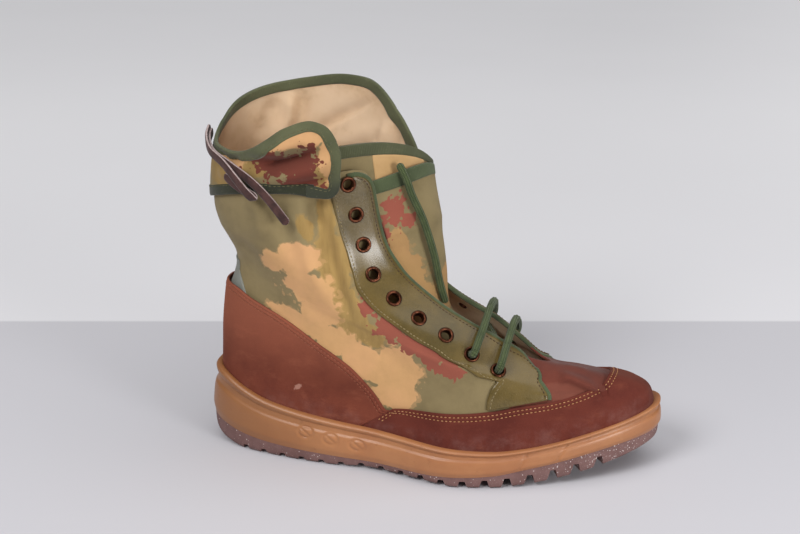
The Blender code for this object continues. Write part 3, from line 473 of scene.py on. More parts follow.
def shaft_point(turn, height, distance):
    """Point outside the shaft at a height. Turn runs from the near throat edge (-1) round the back to 1."""
    turn, height, distance = np.broadcast_arrays(*(np.asarray(v, float) for v in (turn, height, distance)))
    side = np.where(turn < 0, LATERAL, MEDIAL)

    def past(level):
        return skin(level, np.abs(turn) * edge_angle(level), side)[..., 2] > height

    level = solve(np.full(turn.shape, 6.5), np.full(turn.shape, float(TOP_RING)), past)
    point = off_skin(level, np.abs(turn) * edge_angle(level), side, distance)
    point[..., 2] = height
    return point


def cuff_point(turn, share):
    """Inner face of the cuff: turn round the shaft, share of the height from the seam to the top."""
    columns = columns_of(CUFF_COLUMNS, CUFF)
    at = {name: ramp(columns["turn"], column, np.ravel(turn)).reshape(np.shape(turn))
          for name, column in columns.items()}
    height = at["seam_z"] + (at["top_z"] - at["seam_z"]) * share
    lean = at["low_out"] + (at["top_out"] - at["low_out"]) * share ** 2.5
    point = shaft_point(turn, np.minimum(height, CUFF_FOLLOWS_TO), lean)
    point[..., 0] += at["low_fwd"] + (at["top_fwd"] - at["low_fwd"]) * share
    point[..., 2] = height
    return point


def off_cuff(turn, height, distance):
    """Points outside the cuff's inner face at a height."""
    columns = columns_of(CUFF_COLUMNS, CUFF)
    low = ramp(columns["turn"], columns["seam_z"], turn)
    high = ramp(columns["turn"], columns["top_z"], turn)
    share = np.clip((height - low) / (high - low), 0, 1)
    step = 0.01
    along = cuff_point(turn + step, share) - cuff_point(turn - step, share)
    outward = np.stack([-along[..., 1], along[..., 0], np.zeros_like(turn)], axis=-1)
    point = cuff_point(turn, share) + unit(outward) * np.asarray(distance)[..., None]
    point[..., 2] = height
    return point


def smooth_route(points, count):
    """Evenly spaced points on a smooth curve through a route's own points."""
    points = np.array(points, float)
    padded = np.concatenate([2 * points[:1] - points[1:2], points, 2 * points[-1:] - points[-2:-1]])
    fine = []
    for a, b, c, d in zip(padded, padded[1:], padded[2:], padded[3:]):
        t = np.linspace(0, 1, 24, endpoint=False)[:, None]
        fine.append(0.5 * (2 * b + (c - a) * t + (2 * a - 5 * b + 4 * c - d) * t ** 2
                           + (3 * b - a - 3 * c + d) * t ** 3))
    fine = np.concatenate(fine + [points[-1:]])
    run = run_along(fine)
    return points_at(np.linspace(0, run[-1], count), run, fine)


def sole_ring(inset, height_of, count):
    """Loop of the sole at an inset whose height is a function of the place along the foot."""
    x, y = sole_loop(inset, count)
    return np.stack([x, y, height_of(np.clip(x, OUTLINE_X[0], OUTLINE_X[-1]))], axis=-1)


def thong_line(stations, count):
    """Middle line of a strand and its width's direction, flat on the cuff and turned over at a fold."""
    turn, height, standoff = np.array(stations).T
    middle = smooth_route(off_cuff(turn, height, CUFF_THICKNESS + standoff), count)
    flat = np.cross(unit(np.gradient(middle, axis=0)), unit(from_shaft(middle)))
    across = [flat[0]]
    for way in flat:
        way = way * np.sign(way @ across[-1])
        level = across[-1] * (1 - way @ way) + way
        across.append(level / np.linalg.norm(level))
    return middle, np.array(across[1:])


def slump(points):
    """How far the vamp's inner side has sunk at points: nothing on the outer side or near the sole."""
    x, y, z = np.moveaxis(points, -1, 0)
    inward, upward = (np.clip((place - start) / over, 0, 1)
                      for place, (start, over) in ((y, SLUMP_ACROSS), (z, SLUMP_UP)))
    eased = inward * inward * (3 - 2 * inward) * upward * upward * (3 - 2 * upward)
    return ramp(SLUMP_X, SLUMP, x.ravel()).reshape(x.shape) * eased


class Wire:
    """An output in a finish's node tree. Arithmetic on it adds Math nodes."""

    def __init__(self, tree, socket):
        self.tree, self.socket = tree, socket

    def node(self, kind, settings=(), sockets=(), output=0):
        made = self.tree.nodes.new(kind)
        for name, value in dict(settings).items():
            setattr(made, name, value)
        for key, value in dict(sockets).items():
            if isinstance(value, Wire):
                self.tree.links.new(value.socket, made.inputs[key])
            else:
                made.inputs[key].default_value = value
        return Wire(self.tree, made.outputs[output])

    def maths(self, operation, *values):
        return self.node("ShaderNodeMath", {"operation": operation}, dict(enumerate(values)))

    def __add__(self, other):
        return self.maths("ADD", self, other)

    __radd__ = __add__

    def __sub__(self, other):
        return self.maths("SUBTRACT", self, other)

    def __rsub__(self, other):
        return self.maths("SUBTRACT", other, self)

    def __mul__(self, other):
        return self.maths("MULTIPLY", self, other)

    __rmul__ = __mul__

    def wave(self):
        return self.maths("SINE", self)

    def least(self, other):
        return self.maths("MINIMUM", self, other)

    def rise(self, start, end):
        """0 at start to 1 at end, eased at both."""
        return self.node("ShaderNodeMapRange", {"interpolation_type": "SMOOTHSTEP"},
                         {"Value": self, "From Min": start, "From Max": end})

    def axis(self, k):
        return self.node("ShaderNodeSeparateXYZ", (), {0: self}, k)

    def stretched(self, by):
        return self.node("ShaderNodeVectorMath", {"operation": "MULTIPLY"}, {0: self, 1: by})

    def grain(self, scale, detail=2.0, rough=0.5, output=0):
        return self.node("ShaderNodeTexNoise", (),
                         {"Vector": self, "Scale": scale, "Detail": detail, "Roughness": rough}, output)

    def cells(self, scale, feature="F1", output=0):
        return self.node("ShaderNodeTexVoronoi", {"feature": feature}, {"Vector": self, "Scale": scale},
                         output)

    def blend(self, first, second):
        """Colours mixed by this mask: the first at 0, the second at 1."""
        return self.node("ShaderNodeMix", {"data_type": "RGBA"}, {0: self, 6: first, 7: second}, 2)

    def lit(self, by):
        """This colour made brighter or darker by a value."""
        return self.node("ShaderNodeVectorMath", {"operation": "SCALE"}, {0: self, "Scale": by})

    def bump(self, distance, strength=1.0):
        """Normal from this height, whose unit is distance in millimetres."""
        return self.node("ShaderNodeBump", (),
                         {"Height": self, "Distance": distance * MM, "Strength": strength})

    def reach(self, place, turn, half):
        """Distance from a place, where 1 is the edge of an ellipsoid with these halves, turned about Y."""
        at = self.node("ShaderNodeMapping", {"vector_type": "TEXTURE"},
                       {"Vector": self, "Location": place, "Rotation": (0, turn, 0), "Scale": half})
        return self.node("ShaderNodeVectorMath", {"operation": "LENGTH"}, {0: at}, 1)


def colour(word):
    """Linear colour of a six-figure screen colour."""
    channel = [int(word[k:k + 2], 16) / 255 for k in (0, 2, 4)]
    return (*(c / 12.92 if c <= 0.04045 else ((c + 0.055) / 1.055) ** 2.4 for c in channel), 1.0)


def tones(words):
    return [colour(word) for word in words.split()]


class Finish:
    """A named material with its object coordinates to start from, and its shader to feed."""

    def __init__(self, name, **constants):
        self.material = bpy.data.materials.new(name)
        self.material.use_nodes = True
        self.tree = self.material.node_tree
        self.shader = self.tree.nodes["Principled BSDF"]
        for key, value in constants.items():
            self.shader.inputs[key.replace("_", " ")].default_value = value
        self.at = Wire(self.tree, self.tree.nodes.new("ShaderNodeTexCoord").outputs["Object"])

    def cloth(self):
        """The piece's own map: millimetres along and across the cut cloth."""
        return self.at.node("ShaderNodeUVMap", {"uv_map": "cut"})

    def feed(self, **links):
        for key, value in links.items():
            self.tree.links.new(value.socket, self.shader.inputs[key.replace("_", " ")])
        return self.material


def canvas_weave(finish):
    """Height of plain-weave canvas: crossing threads with slubs."""
    cut = finish.cloth()
    threads = (cut.axis(0) * 6.6).wave() * (cut.axis(1) * 6.6).wave()
    upright, level = (finish.at.stretched(by).grain(1.0, 2.0) for by in ((300, 300, 2600), (2600, 300, 300)))
    return threads * 0.35 + (upright + level) * 0.9


def blotch(at, fray, spots):
    """Mask of a camouflage colour: ellipses in side view with frayed edges."""
    nearest = None
    for x, z, half_long, half_high, turn in spots:
        reach = at.reach((x * MM, 0, z * MM), -math.radians(turn), (half_long * MM, 1000.0, half_high * MM))
        nearest = reach if nearest is None else nearest.least(reach)
    return (nearest + fray).rise(1.035, 0.965)


OLIVE, KHAKI, OCHRE, BRICK = tones("8b7b57 a38550 cf9f70 925040")
# The last is a darker brick for the cuff, painted shade
DARK_OLIVE, DARK_KHAKI, PALE_OCHRE, CUFF_SHADED_BRICK_INK = tones("7a6b4a 7f6739 bb9660 70382b")
# Window brick, its darker tone, and a lighter brick for its lower panel as painted light
VAMP_BRICK, VAMP_DARK, VAMP_PAINTED_LIGHT = tones("70382b 5e2d23 784234")


def camouflage(name, khaki, ochre, brick, inner_side=True, window=False, shade=1.0,
               brick_ink=BRICK, ochre_ink=OCHRE):
    """Four-colour camouflage canvas. Spots are drawn for the outer side, and the inner side has its own
    drift. The window is the vamp's front between rand and throat, in brick cloth, with its lower panel
    painted lighter as painted light."""
    finish = Finish(name, Specular_IOR_Level=0.22, Sheen_Weight=0.08, Sheen_Roughness=0.5)
    at = finish.at
    broad = at.grain(46.0, 2.0, 0.5) - 0.5
    fine = at.grain(260.0, 4.0, 0.6) - 0.5
    lobes = at.cells(150.0, "SMOOTH_F1") - 0.42
    buds = at.cells(380.0, "SMOOTH_F1") - 0.42
    fray = broad * 0.5 + fine * 0.4 + lobes * 0.55 + buds * 0.3
    lace = broad * 0.4 + fine * 1.3 + lobes * 0.9 + buds * 1.1 + 0.10
    tone = at.grain(30.0, 4.0, 0.6).rise(0.3, 0.7)
    paint = (tone * 0.75).blend(OLIVE, DARK_OLIVE)
    outer = at.axis(1).rise(0.003, -0.003)

    def layer(under, spots, edge, ink, seed, share, halo=0.0):
        over = None
        if spots:
            over = blotch(at, edge, spots)
            if halo:
                over = over * 0.62 + blotch(at, edge * 1.5 - halo, spots) * 0.38
            if inner_side:
                over = over * outer
        if inner_side:
            drift = at.node("ShaderNodeMapping", (), {"Vector": at, "Location": (seed, 2 * seed, -seed)})
            far = (drift.grain(19.0, 1.0) + edge * 0.07).rise(share - 0.012, share + 0.012) * (1 - outer)
            over = far if over is None else over + far
        return under if over is None else over.blend(under, ink)

    worn = at.grain(95.0, 5.0, 0.65)
    streak = at.stretched((160, 160, 18)).grain(1.0, 4.0, 0.6).rise(0.38, 0.66)
    paint = layer(paint, khaki, fray * 0.8, (streak * 0.45).blend(KHAKI, DARK_KHAKI), 3.1, 0.60, 0.16)
    paint = layer(paint, ochre, fray, (tone * 0.45).blend(ochre_ink, PALE_OCHRE), 7.7, 0.585, 0.12)
    paint = layer(paint, brick, lace, brick_ink, 11.3, 0.62)
    if window:
        front = at.axis(0).rise(0.058, 0.060)
        # Painted light: the window's lower panel under the fold is made lighter where it faces the lamps
        lit_lower_panel = (at.axis(2) + (at.axis(0) - 0.092).rise(0.0, 0.021) * 0.0078).rise(0.0655, 0.0635)
        lit_lower_panel = lit_lower_panel * at.axis(1).rise(-0.008, -0.016)
        brick_cloth = lit_lower_panel.blend((tone * 0.8).blend(VAMP_BRICK, VAMP_DARK), VAMP_PAINTED_LIGHT)
        paint = front.blend(paint, brick_cloth)
    stain = at.grain(60.0, 4.0, 0.6).rise(0.5, 0.75)
    front_shade = at.axis(0).rise(-0.03, 0.03) * 0.14
    # A shade below 1 darkens the whole cloth as painted shade
    paint = paint.lit((0.90 + worn * 0.2 - stain * 0.07 - front_shade) * shade)
    weave = canvas_weave(finish)
    return finish.feed(Base_Color=paint, Roughness=0.78 + worn * 0.14, Normal=weave.bump(0.10, 0.55))


def suede_finish(name, base, worn_colour, dark, painted_light_above=None):
    """Brushed suede: cloudy nap, paler where rubbed, dusty along the sole's rim, and where heights are given,
    paler toward the top as painted light.
    """
    finish = Finish(name, Specular_IOR_Level=0.15, Sheen_Weight=0.12, Sheen_Roughness=0.45,
                    Sheen_Tint=colour("d9a08a"))
    at, cut = finish.at, finish.cloth()
    cloud = at.grain(30.0, 5.0, 0.62)
    brushed = at.stretched((70, 70, 150)).grain(1.0, 5.0, 0.68)
    nap = at.grain(1500.0, 2.0, 0.6)
    paint = cloud.rise(0.36, 0.7).blend(base, dark)
    paint = (brushed.rise(0.5, 0.8) * 0.4).blend(paint, worn_colour)
    if painted_light_above:
        # Painted light: paler toward the piece's top
        paint = (at.axis(2).rise(*painted_light_above) * 0.75).blend(paint, worn_colour)
    scuff = at.reach((-0.0817, -0.033, 0.0505), -0.6, (0.0036, 0.05, 0.0018))
    chafe = scuff + (at.grain(700.0) - 0.5) * 0.9
    paint = (chafe.rise(1.05, 0.6) * 0.6).blend(paint, colour("b58878"))
    speck = at.grain(260.0, 3.0, 0.6).rise(0.66, 0.74) * at.grain(30.0, 2.0).rise(0.5, 0.7)
    dust = at.grain(90.0, 5.0, 0.7).rise(0.36, 0.75) * cut.axis(1).rise(21.0, 12.5)
    paint = (speck * 0.15 + dust * 0.16).blend(paint, colour("9c7a74"))
    paint = paint.lit(0.86 + nap * 0.28)
    height = nap * 0.5 + brushed * 0.6 + cloud * 0.8
    return finish.feed(Base_Color=paint, Roughness=0.86 + nap * 0.12, Normal=height.bump(0.18, 0.65))


def eyestay_leather():
    """Coated olive leather: fine pebble grain, soft gloss, rubbed lighter here and there."""
    finish = Finish("olive_coated_leather", Specular_IOR_Level=0.1, Coat_Roughness=0.24)
    at = finish.at
    pebble = at.cells(1000.0, "SMOOTH_F1")
    streak = at.stretched((90, 500, 90)).grain(1.0, 3.0)
    cloud = at.grain(34.0, 4.0, 0.6)
    paint = cloud.rise(0.35, 0.7).blend(*tones("635126 4d401b"))
    paint = (streak.rise(0.6, 0.85) * 0.25).blend(paint, colour("7d6d48"))
    rubbed = at.grain(75.0, 5.0, 0.7).rise(0.58, 0.8)
    height = pebble * -1.1 + at.grain(150.0, 3.0) * 1.2
    return finish.feed(Base_Color=paint, Roughness=0.46 + rubbed * 0.14 + cloud * 0.06,
                       Coat_Weight=0.8 - rubbed * 0.2, Normal=height.bump(0.42, 0.85))


def tan_rubber():
    """Moulded tan rubber: even body, faint flow marks, scuffs, grime low down, and painted shade darkening it
    toward the heel.
    """
    finish = Finish("tan_moulded_rubber", Specular_IOR_Level=0.4, Coat_Roughness=0.26,
                    Subsurface_Weight=0.05, Subsurface_Radius=(0.004, 0.002, 0.001))
    at = finish.at
    cloud = at.grain(22.0, 4.0, 0.6)
    flow = at.stretched((24, 24, 260)).grain(1.0, 4.0, 0.6)
    paint = cloud.rise(0.3, 0.75).blend(*tones("ac754b 9d6640"))
    paint = (flow.rise(0.52, 0.8) * 0.4).blend(paint, colour("b27b4f"))
    # Painted shade: darker toward the heel
    heel = at.axis(0).rise(-0.03, -0.13) * 0.7
    paint = heel.blend(paint, colour("85562f"))
    grime = at.grain(150.0, 6.0, 0.72).rise(0.58, 0.72)
    paint = (grime * 0.32).blend(paint, colour("6d4630"))
    nick = at.stretched((260, 260, 900)).grain(1.0, 2.0).rise(0.74, 0.80)
    paint = (nick * 0.4).blend(paint, colour("7d4a2e"))
    height = flow * 0.4 + at.grain(420.0, 3.0) * 0.5 - nick * 0.6
    return finish.feed(Base_Color=paint, Roughness=0.40 + cloud * 0.08 + grime * 0.2,
                       Coat_Weight=0.22 - grime * 0.15, Normal=height.bump(0.10, 0.5))


def speckled_rubber():
    """Dark outsole rubber with pale crumbs pressed into it."""
    finish = Finish("speckled_outsole_rubber", Specular_IOR_Level=0.35)
    at = finish.at
    crumb = at.cells(760.0)
    chance = at.node("ShaderNodeSeparateColor", (), {0: at.cells(760.0, output=1)}, 0)
    at_toe = at.axis(0).rise(0.06, 0.13)
    pale = crumb.rise(0.34, 0.2) * (chance + at_toe * 0.4).rise(0.88, 0.95)
    fine = at.cells(1300.0)
    fleck = fine.rise(0.3, 0.15) * (at.cells(1300.0, output=1).axis(1) + at_toe * 0.35).rise(0.80, 0.88)
    cloud = at.grain(60.0, 5.0, 0.7)
    paint = cloud.rise(0.3, 0.75).blend(*tones("6a4d49 7e5f5b"))
    paint = (fleck * 0.7).blend(paint, colour("a8938f"))
    paint = pale.blend(paint, colour("cfc2bd"))
    height = at.grain(380.0, 4.0, 0.7) * 1.0 + pale * 0.5
    return finish.feed(Base_Color=paint, Roughness=0.62 + cloud * 0.25, Normal=height.bump(0.35, 0.8))


def copper_finish():
    finish = Finish("dull_copper", Metallic=1.0)
    at = finish.at
    tarnish = at.grain(420.0, 4.0, 0.65)
    paint = tarnish.rise(0.35, 0.7).blend(*tones("613a29 351e15"))
    return finish.feed(Base_Color=paint, Roughness=0.26 + tarnish * 0.22,
                       Normal=at.grain(900.0, 2.0).bump(0.04, 0.4))


def green_tape(name, base, dark, low=None):
    """Ribbed binding tape. Low is the darker colour it turns to down at the cuff's seam, as painted shade."""
    finish = Finish(name, Specular_IOR_Level=0.25, Sheen_Weight=0.2, Sheen_Roughness=0.5)
    at, cut = finish.at, finish.cloth()
    rib = (cut.axis(0) * 5.2).wave()
    cross = (cut.axis(1) * 8.5).wave()
    worn = at.grain(130.0, 5.0, 0.65)
    cloud = at.grain(28.0, 3.0)
    paint = cloud.rise(0.35, 0.7).blend(base, dark)
    paint = (worn.rise(0.55, 0.8) * 0.4).blend(paint, colour("747555"))
    # Painted shade: the tape turns darker low down toward the cuff's seam
    if low:
        paint = at.axis(2).rise(0.200, 0.186).blend(paint, low)
    fray = at.grain(700.0, 3.0, 0.7).rise(0.6, 0.75)
    paint = (fray * 0.35).blend(paint, colour("8a8a68"))
    # Painted shade and highlight: a little darker between the ribs and lighter on them
    paint = paint.lit(0.92 + rib * 0.025)
    height = rib * 0.35 + cross * 0.4 + at.grain(900.0) * 0.7
    return finish.feed(Base_Color=paint, Roughness=0.78 + worn * 0.15, Normal=height.bump(0.12, 0.7))


def lace_braid(section):
    """Plaited cord: thick strands along it with painted shade between them, and fine threads wound across
    them with painted highlights on their crests.
    """
    finish = Finish("green_plaited_cord", Specular_IOR_Level=0.25, Sheen_Weight=0.15, Sheen_Roughness=0.4)
    cut = finish.cloth()
    around = np.linalg.norm(np.diff(section, axis=0), axis=1).sum()
    strand = (cut.axis(1) * (LACE_RIBS * 2 * math.pi / around) + math.pi / 2).wave()
    slant = (cut.axis(0) * 3.6 + cut.axis(1) * 3.0).wave() * (cut.axis(0) * 3.6 - cut.axis(1) * 3.0).wave()
    fibre = finish.at.grain(1300.0, 3.0, 0.7)
    worn = finish.at.grain(140.0, 4.0, 0.6)
    paint = worn.rise(0.35, 0.7).blend(*tones("535f39 3f4b2c"))
    # Painted highlight on the crossing threads' crests
    paint = (slant.rise(0.1, 0.8) * 0.45).blend(paint, colour("77825a"))
    # Painted shade in the hollows between threads and between strands
    paint = (slant.rise(-0.2, -0.8) * 0.4 + strand.rise(-0.1, -0.9) * 0.6).blend(paint, colour("28321c"))
    paint = paint.lit(0.8 + fibre * 0.4)
    height = slant * 0.8 + fibre * 0.5
    return finish.feed(Base_Color=paint, Roughness=0.74 + fibre * 0.2, Normal=height.bump(0.35, 0.9))


def lining_cloth(name, base, dark):
    finish = Finish(name, Specular_IOR_Level=0.2, Sheen_Weight=0.12, Sheen_Roughness=0.5)
    at = finish.at
    cloud = at.grain(24.0, 4.0, 0.6)
    soil = at.grain(48.0, 5.0, 0.65).rise(0.5, 0.8)
    paint = cloud.rise(0.3, 0.75).blend(base, dark)
    paint = (soil * 0.3).blend(paint, colour("8f7350"))
    return finish.feed(Base_Color=paint, Roughness=0.82 + cloud * 0.1,
                       Normal=canvas_weave(finish).bump(0.08, 0.5))


def thong_suede():
    finish = Finish("dark_thong_suede", Specular_IOR_Level=0.25, Sheen_Weight=0.15, Sheen_Roughness=0.5)
    at = finish.at
    cloud = at.grain(160.0, 4.0, 0.65)
    nap = at.grain(1700.0, 2.0)
    paint = cloud.rise(0.35, 0.7).blend(*tones("4f3430 33211f")).lit(0.85 + nap * 0.3)
    return finish.feed(Base_Color=paint, Roughness=0.8 + nap * 0.15, Normal=(nap + cloud).bump(0.15, 0.6))


def thong_cut_edge():
    finish = Finish("pale_thong_edge", Specular_IOR_Level=0.25)
    fibre = finish.at.grain(900.0, 3.0, 0.7)
    paint = fibre.rise(0.3, 0.75).blend(*tones("b9a8a5 8a7774"))
    return finish.feed(Base_Color=paint, Roughness=0.75 + fibre * 0.2, Normal=fibre.bump(0.12, 0.6))


def thread(name, base, dark):
    finish = Finish(name, Specular_IOR_Level=0.3)
    ply = finish.at.grain(800.0, 2.0)
    return finish.feed(Base_Color=ply.rise(0.3, 0.7).blend(base, dark), Roughness=0.6 + ply * 0.25,
                       Normal=ply.bump(0.08, 0.6))


# Level direction in which the camera looks
VIEW_AHEAD = (-0.2164, 0.9763)


def pale_floor():
    """Matt pale floor, with painted light making it lighter far behind and to the right."""
    finish = Finish("pale_floor", Specular_IOR_Level=0.1)
    cloud = finish.at.grain(3.0, 3.0)
    across = finish.at.axis(0)
    away = across * VIEW_AHEAD[0] + finish.at.axis(1) * VIEW_AHEAD[1]
    # Painted light: lighter farther away
    paint = away.rise(0.1, 1.2).blend((0.585, 0.575, 0.605, 1), (0.92, 0.91, 0.93, 1))
    paint = (away.rise(0.236, 0.242) * 0.5).blend(paint, (0.94, 0.93, 0.945, 1))
    # Painted light: lighter toward the right
    paint = paint.lit(0.96 + across.rise(-0.1, 0.7) * 0.2 + cloud * 0.03)
    return finish.feed(Base_Color=paint, Roughness=0.85 + cloud * 0.08,
                       Normal=finish.at.grain(180.0, 3.0).bump(0.2, 0.15))


def to_metres(points):
    points = np.array(points, float)
    points[..., 2] -= slump(points)
    return (points + SHIFT) * MM


def scene_object(name, data):
    obj = bpy.data.objects.new(name, data)
    bpy.context.scene.collection.objects.link(obj)
    return obj


def add_piece(name, mesh, nodes=()):
    """A finished piece of the boot, standing for CAD nodes."""
    piece = scene_object(name, mesh)
    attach(piece, "root")
    if nodes:
        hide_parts(*nodes)
    return piece


def mesh_of(name, points, faces, finishes, finish_of=None, cut=None):
    mesh = bpy.data.meshes.new(name)
    mesh.from_pydata(to_metres(points).tolist(), [], [list(f) for f in faces])
    for finish in finishes:
        mesh.materials.append(finish)
    if finish_of is not None:
        mesh.polygons.foreach_set("material_index", np.asarray(finish_of, np.int32))
    if cut is not None:
        corner = np.empty(len(mesh.loops), np.int32)
        mesh.loops.foreach_get("vertex_index", corner)
        mesh.uv_layers.new(name="cut").data.foreach_set("uv", np.asarray(cut, float)[corner].ravel())
    mesh.shade_smooth()
    mesh.update()
    return mesh


def grid_lengths(points):
    """Millimetres along and up a grid of points, the piece's flat cut."""
    along = np.zeros(points.shape[:2])
    along[:, 1:] = np.cumsum(np.linalg.norm(np.diff(points, axis=1), axis=-1), axis=1)
    along -= along[:, points.shape[1] // 2][:, None]
    up = np.zeros(points.shape[:2])
    up[1:] = np.cumsum(np.linalg.norm(np.diff(points, axis=0), axis=-1), axis=0)
    return np.stack([along, up], axis=-1)


def grid_faces(rows, columns):
    r, c = grid_of(np.arange(rows - 1), np.arange(columns - 1))
    a = r * columns + c
    return np.stack([a, a + 1, a + 1 + columns, a + columns], axis=-1).reshape(-1, 4)


def edited(mesh, edit):
    """A mesh after an edit made on it as a bmesh."""
    body = bmesh.new()
    body.from_mesh(mesh)
    edit(body)
    body.to_mesh(mesh)
    body.free()
    return mesh


# Distance within which a seam's points are welded
WELD = 0.03


def slab_mesh(name, outer, inner, finishes, seam_rows=0):
    """Closed sheet between two grids. Finishes are for the outer face, the inner face and the cut edge.
    In the first seam_rows rows the two end columns meet and are welded."""
    rows, columns = outer.shape[:2]
    count = rows * columns
    front = grid_faces(rows, columns)
    at = outer.reshape(-1, 3)
    face_up = np.cross(at[front[:, 1]] - at[front[:, 0]], at[front[:, 3]] - at[front[:, 0]])
    inward_grid = (face_up * (outer - inner).reshape(-1, 3)[front[:, 0]]).sum() < 0
    border = np.concatenate([np.arange(columns), np.arange(2 * columns - 1, count, columns),
                             np.arange(count - 2, count - columns - 1, -1),
                             np.arange(count - 2 * columns, 0, -columns)])
    ahead = np.roll(border, -1)
    at_end = (border % columns == ahead % columns) & (np.maximum(border, ahead) // columns < seam_rows)
    border, ahead = border[~at_end], ahead[~at_end]
    rim = np.stack([ahead, border, border + count, ahead + count], axis=-1)
    if inward_grid:
        front, rim = front[:, ::-1], rim[:, ::-1]
    faces = np.concatenate([front, front[:, ::-1] + count, rim])
    finish_of = np.repeat([0, 1, 2], [len(front), len(front), len(rim)])
    cut = grid_lengths(outer).reshape(-1, 2)
    mesh = mesh_of(name, np.concatenate([at, inner.reshape(-1, 3)]), faces, finishes, finish_of,
                   np.concatenate([cut, cut]))
    if seam_rows:
        edited(mesh, lambda body: bmesh.ops.remove_doubles(body, verts=body.verts, dist=WELD * MM))
    return mesh


def add_slab(name, outer, inner, finishes, nodes=()):
    return add_piece(name, slab_mesh(name, outer, inner, finishes), nodes)


def tube_faces(rows, columns):
    """Faces between rings of points, each ring joined to the next."""
    r, c = grid_of(np.arange(rows - 1), np.arange(columns))
    a, b = r * columns + c, r * columns + (c + 1) % columns
    return [list(f) for f in np.stack([a, b, b + columns, a + columns], axis=-1).reshape(-1, 4)]


def faced_out(mesh):
    """A closed mesh with its faces turned outwards."""
    return edited(mesh, lambda body: bmesh.ops.recalc_face_normals(body, faces=body.faces))


def carried(path, first):
    """Directions square to a path, carried along it without a twist from a first direction."""
    along = unit(np.gradient(path, axis=0))
    across = [np.asarray(first, float)]
    for tangent in along:
        level = across[-1] - tangent * (across[-1] @ tangent)
        across.append(level / np.linalg.norm(level))
    return along, np.array(across[1:])


def swept_mesh(name, path, across, out, section, finishes, scale=None):
    """Closed section of (across, out) offsets carried along a path, with closed ends."""
    section = np.asarray(section, float)
    scale = np.ones(len(path)) if scale is None else scale
    rings = (path[:, None] + across[:, None] * section[None, :, :1] * scale[:, None, None]
             + out[:, None] * section[None, :, 1:] * scale[:, None, None])
    rows, columns = rings.shape[:2]
    faces = tube_faces(rows, columns)
    faces += [list(range(columns))[::-1], list(range((rows - 1) * columns, rows * columns))]
    cut = np.stack(grid_of(run_along(path), run_along(section)), axis=-1).reshape(-1, 2)
    return faced_out(mesh_of(name, rings.reshape(-1, 3), faces, finishes, cut=cut))


def ribbed_circle(radius, ribs, depth):
    """Round section with ribs, for a cord plaited from a few thick strands."""
    turn = np.arange(ribs * 5) * 2 * math.pi / (ribs * 5)
    reach = radius - depth * (0.5 - 0.5 * np.cos(ribs * turn))
    return np.stack([np.cos(turn), np.sin(turn)], axis=-1) * reach[:, None]


def flat_oval(half_wide, half_thick, count, power=3.2):
    """Section of a flat tape with rounded edges."""
    turn = np.arange(count) * 2 * math.pi / count
    c, s = np.cos(turn), np.sin(turn)
    return np.stack([half_wide * np.sign(c) * np.abs(c) ** (2 / power),
                     half_thick * np.sign(s) * np.abs(s) ** (2 / power)], axis=-1)


TIP_STEPS = 6


def round_tips(count):
    """Sizes along a cord that close its two ends to a dome."""
    scale = np.ones(count)
    dome = np.sqrt(1 - (1 - (np.arange(TIP_STEPS) + 0.35) / TIP_STEPS) ** 2)
    scale[:TIP_STEPS], scale[-TIP_STEPS:] = dome, dome[::-1]
    return scale


def dome_ends(path, radius):
    """A path whose first and last stretch is one radius long and cut fine, for a domed tip."""
    run = run_along(path)
    fine = np.arange(TIP_STEPS) / TIP_STEPS * radius
    middle = np.linspace(radius, run[-1] - radius, len(path))
    return points_at(np.concatenate([fine, middle, run[-1] - fine[::-1]]), run, path)


def soft_folds(points, folds):
    """Sum of given ridges and troughs, each a line with a half width and a height, and maybe another
    half width below the line for a fold that hangs over. They die out toward the line's ends. A line is given
    in side view, or by all three axes."""
    total = np.zeros(points.shape[:-1])
    for line, half, height, *half_under in folds:
        line = np.asarray(line, float)
        at = points[..., [0, 2]] if line.shape[1] == 2 else points
        nearest, share = np.full(total.shape, 1e9), np.zeros(total.shape)
        beneath = np.zeros(total.shape, bool)
        for k, (a, b) in enumerate(zip(line, line[1:])):
            t = np.clip(((at - a) @ (b - a)) / ((b - a) @ (b - a)), 0, 1)
            foot = a + t[..., None] * (b - a)
            reach = np.linalg.norm(at - foot, axis=-1)
            closer = reach < nearest
            beneath = np.where(closer, at[..., -1] < foot[..., -1], beneath)
            share = np.where(closer, (k + t) / (len(line) - 1), share)
            nearest = np.where(closer, reach, nearest)
        wide = np.where(beneath, half_under[0], half) if half_under else half
        ends = 0.2 + 0.8 * np.clip(4 * np.minimum(share, 1 - share), 0, 1)
        total += height * ends * np.exp(-(nearest / wide) ** 2)
    return total


def eased_shares(count, edge, fine):
    """Shares from 0 to 1 with a few narrow steps at both ends, for an eased edge."""
    steps = np.linspace(0, edge, fine + 1)
    return np.concatenate([steps, np.linspace(edge, 1 - edge, count)[1:-1], 1 - steps[::-1]])


def eased_edge(shares, edge):
    """Height of a cut sheet's face over its width: full in the middle and rounded off at both ends."""
    near = np.clip(np.minimum(shares, 1 - shares) / edge, 0, 1)
    return 0.45 + 0.55 * np.sqrt(1 - (1 - near) ** 2)


def settled_mesh(obj, name):
    """Plain mesh of an object's modifiers, after which the object is gone."""
    graph = bpy.context.evaluated_depsgraph_get()
    mesh = bpy.data.meshes.new_from_object(obj.evaluated_get(graph), depsgraph=graph)
    mesh.name = name
    old = obj.data
    bpy.data.objects.remove(obj)
    bpy.data.meshes.remove(old)
    return mesh


def cut_away(mesh, cutter, name, crossing=False):
    """A mesh less a cutter, whose own parts may cross one another."""
    body, tool = scene_object("body", mesh), scene_object("tool", cutter)
    cut = body.modifiers.new("cut", "BOOLEAN")
    cut.operation, cut.solver, cut.object, cut.use_self = "DIFFERENCE", "EXACT", tool, crossing
    made = settled_mesh(body, name)
    bpy.data.objects.remove(tool)
    bpy.data.meshes.remove(cutter)
    return made


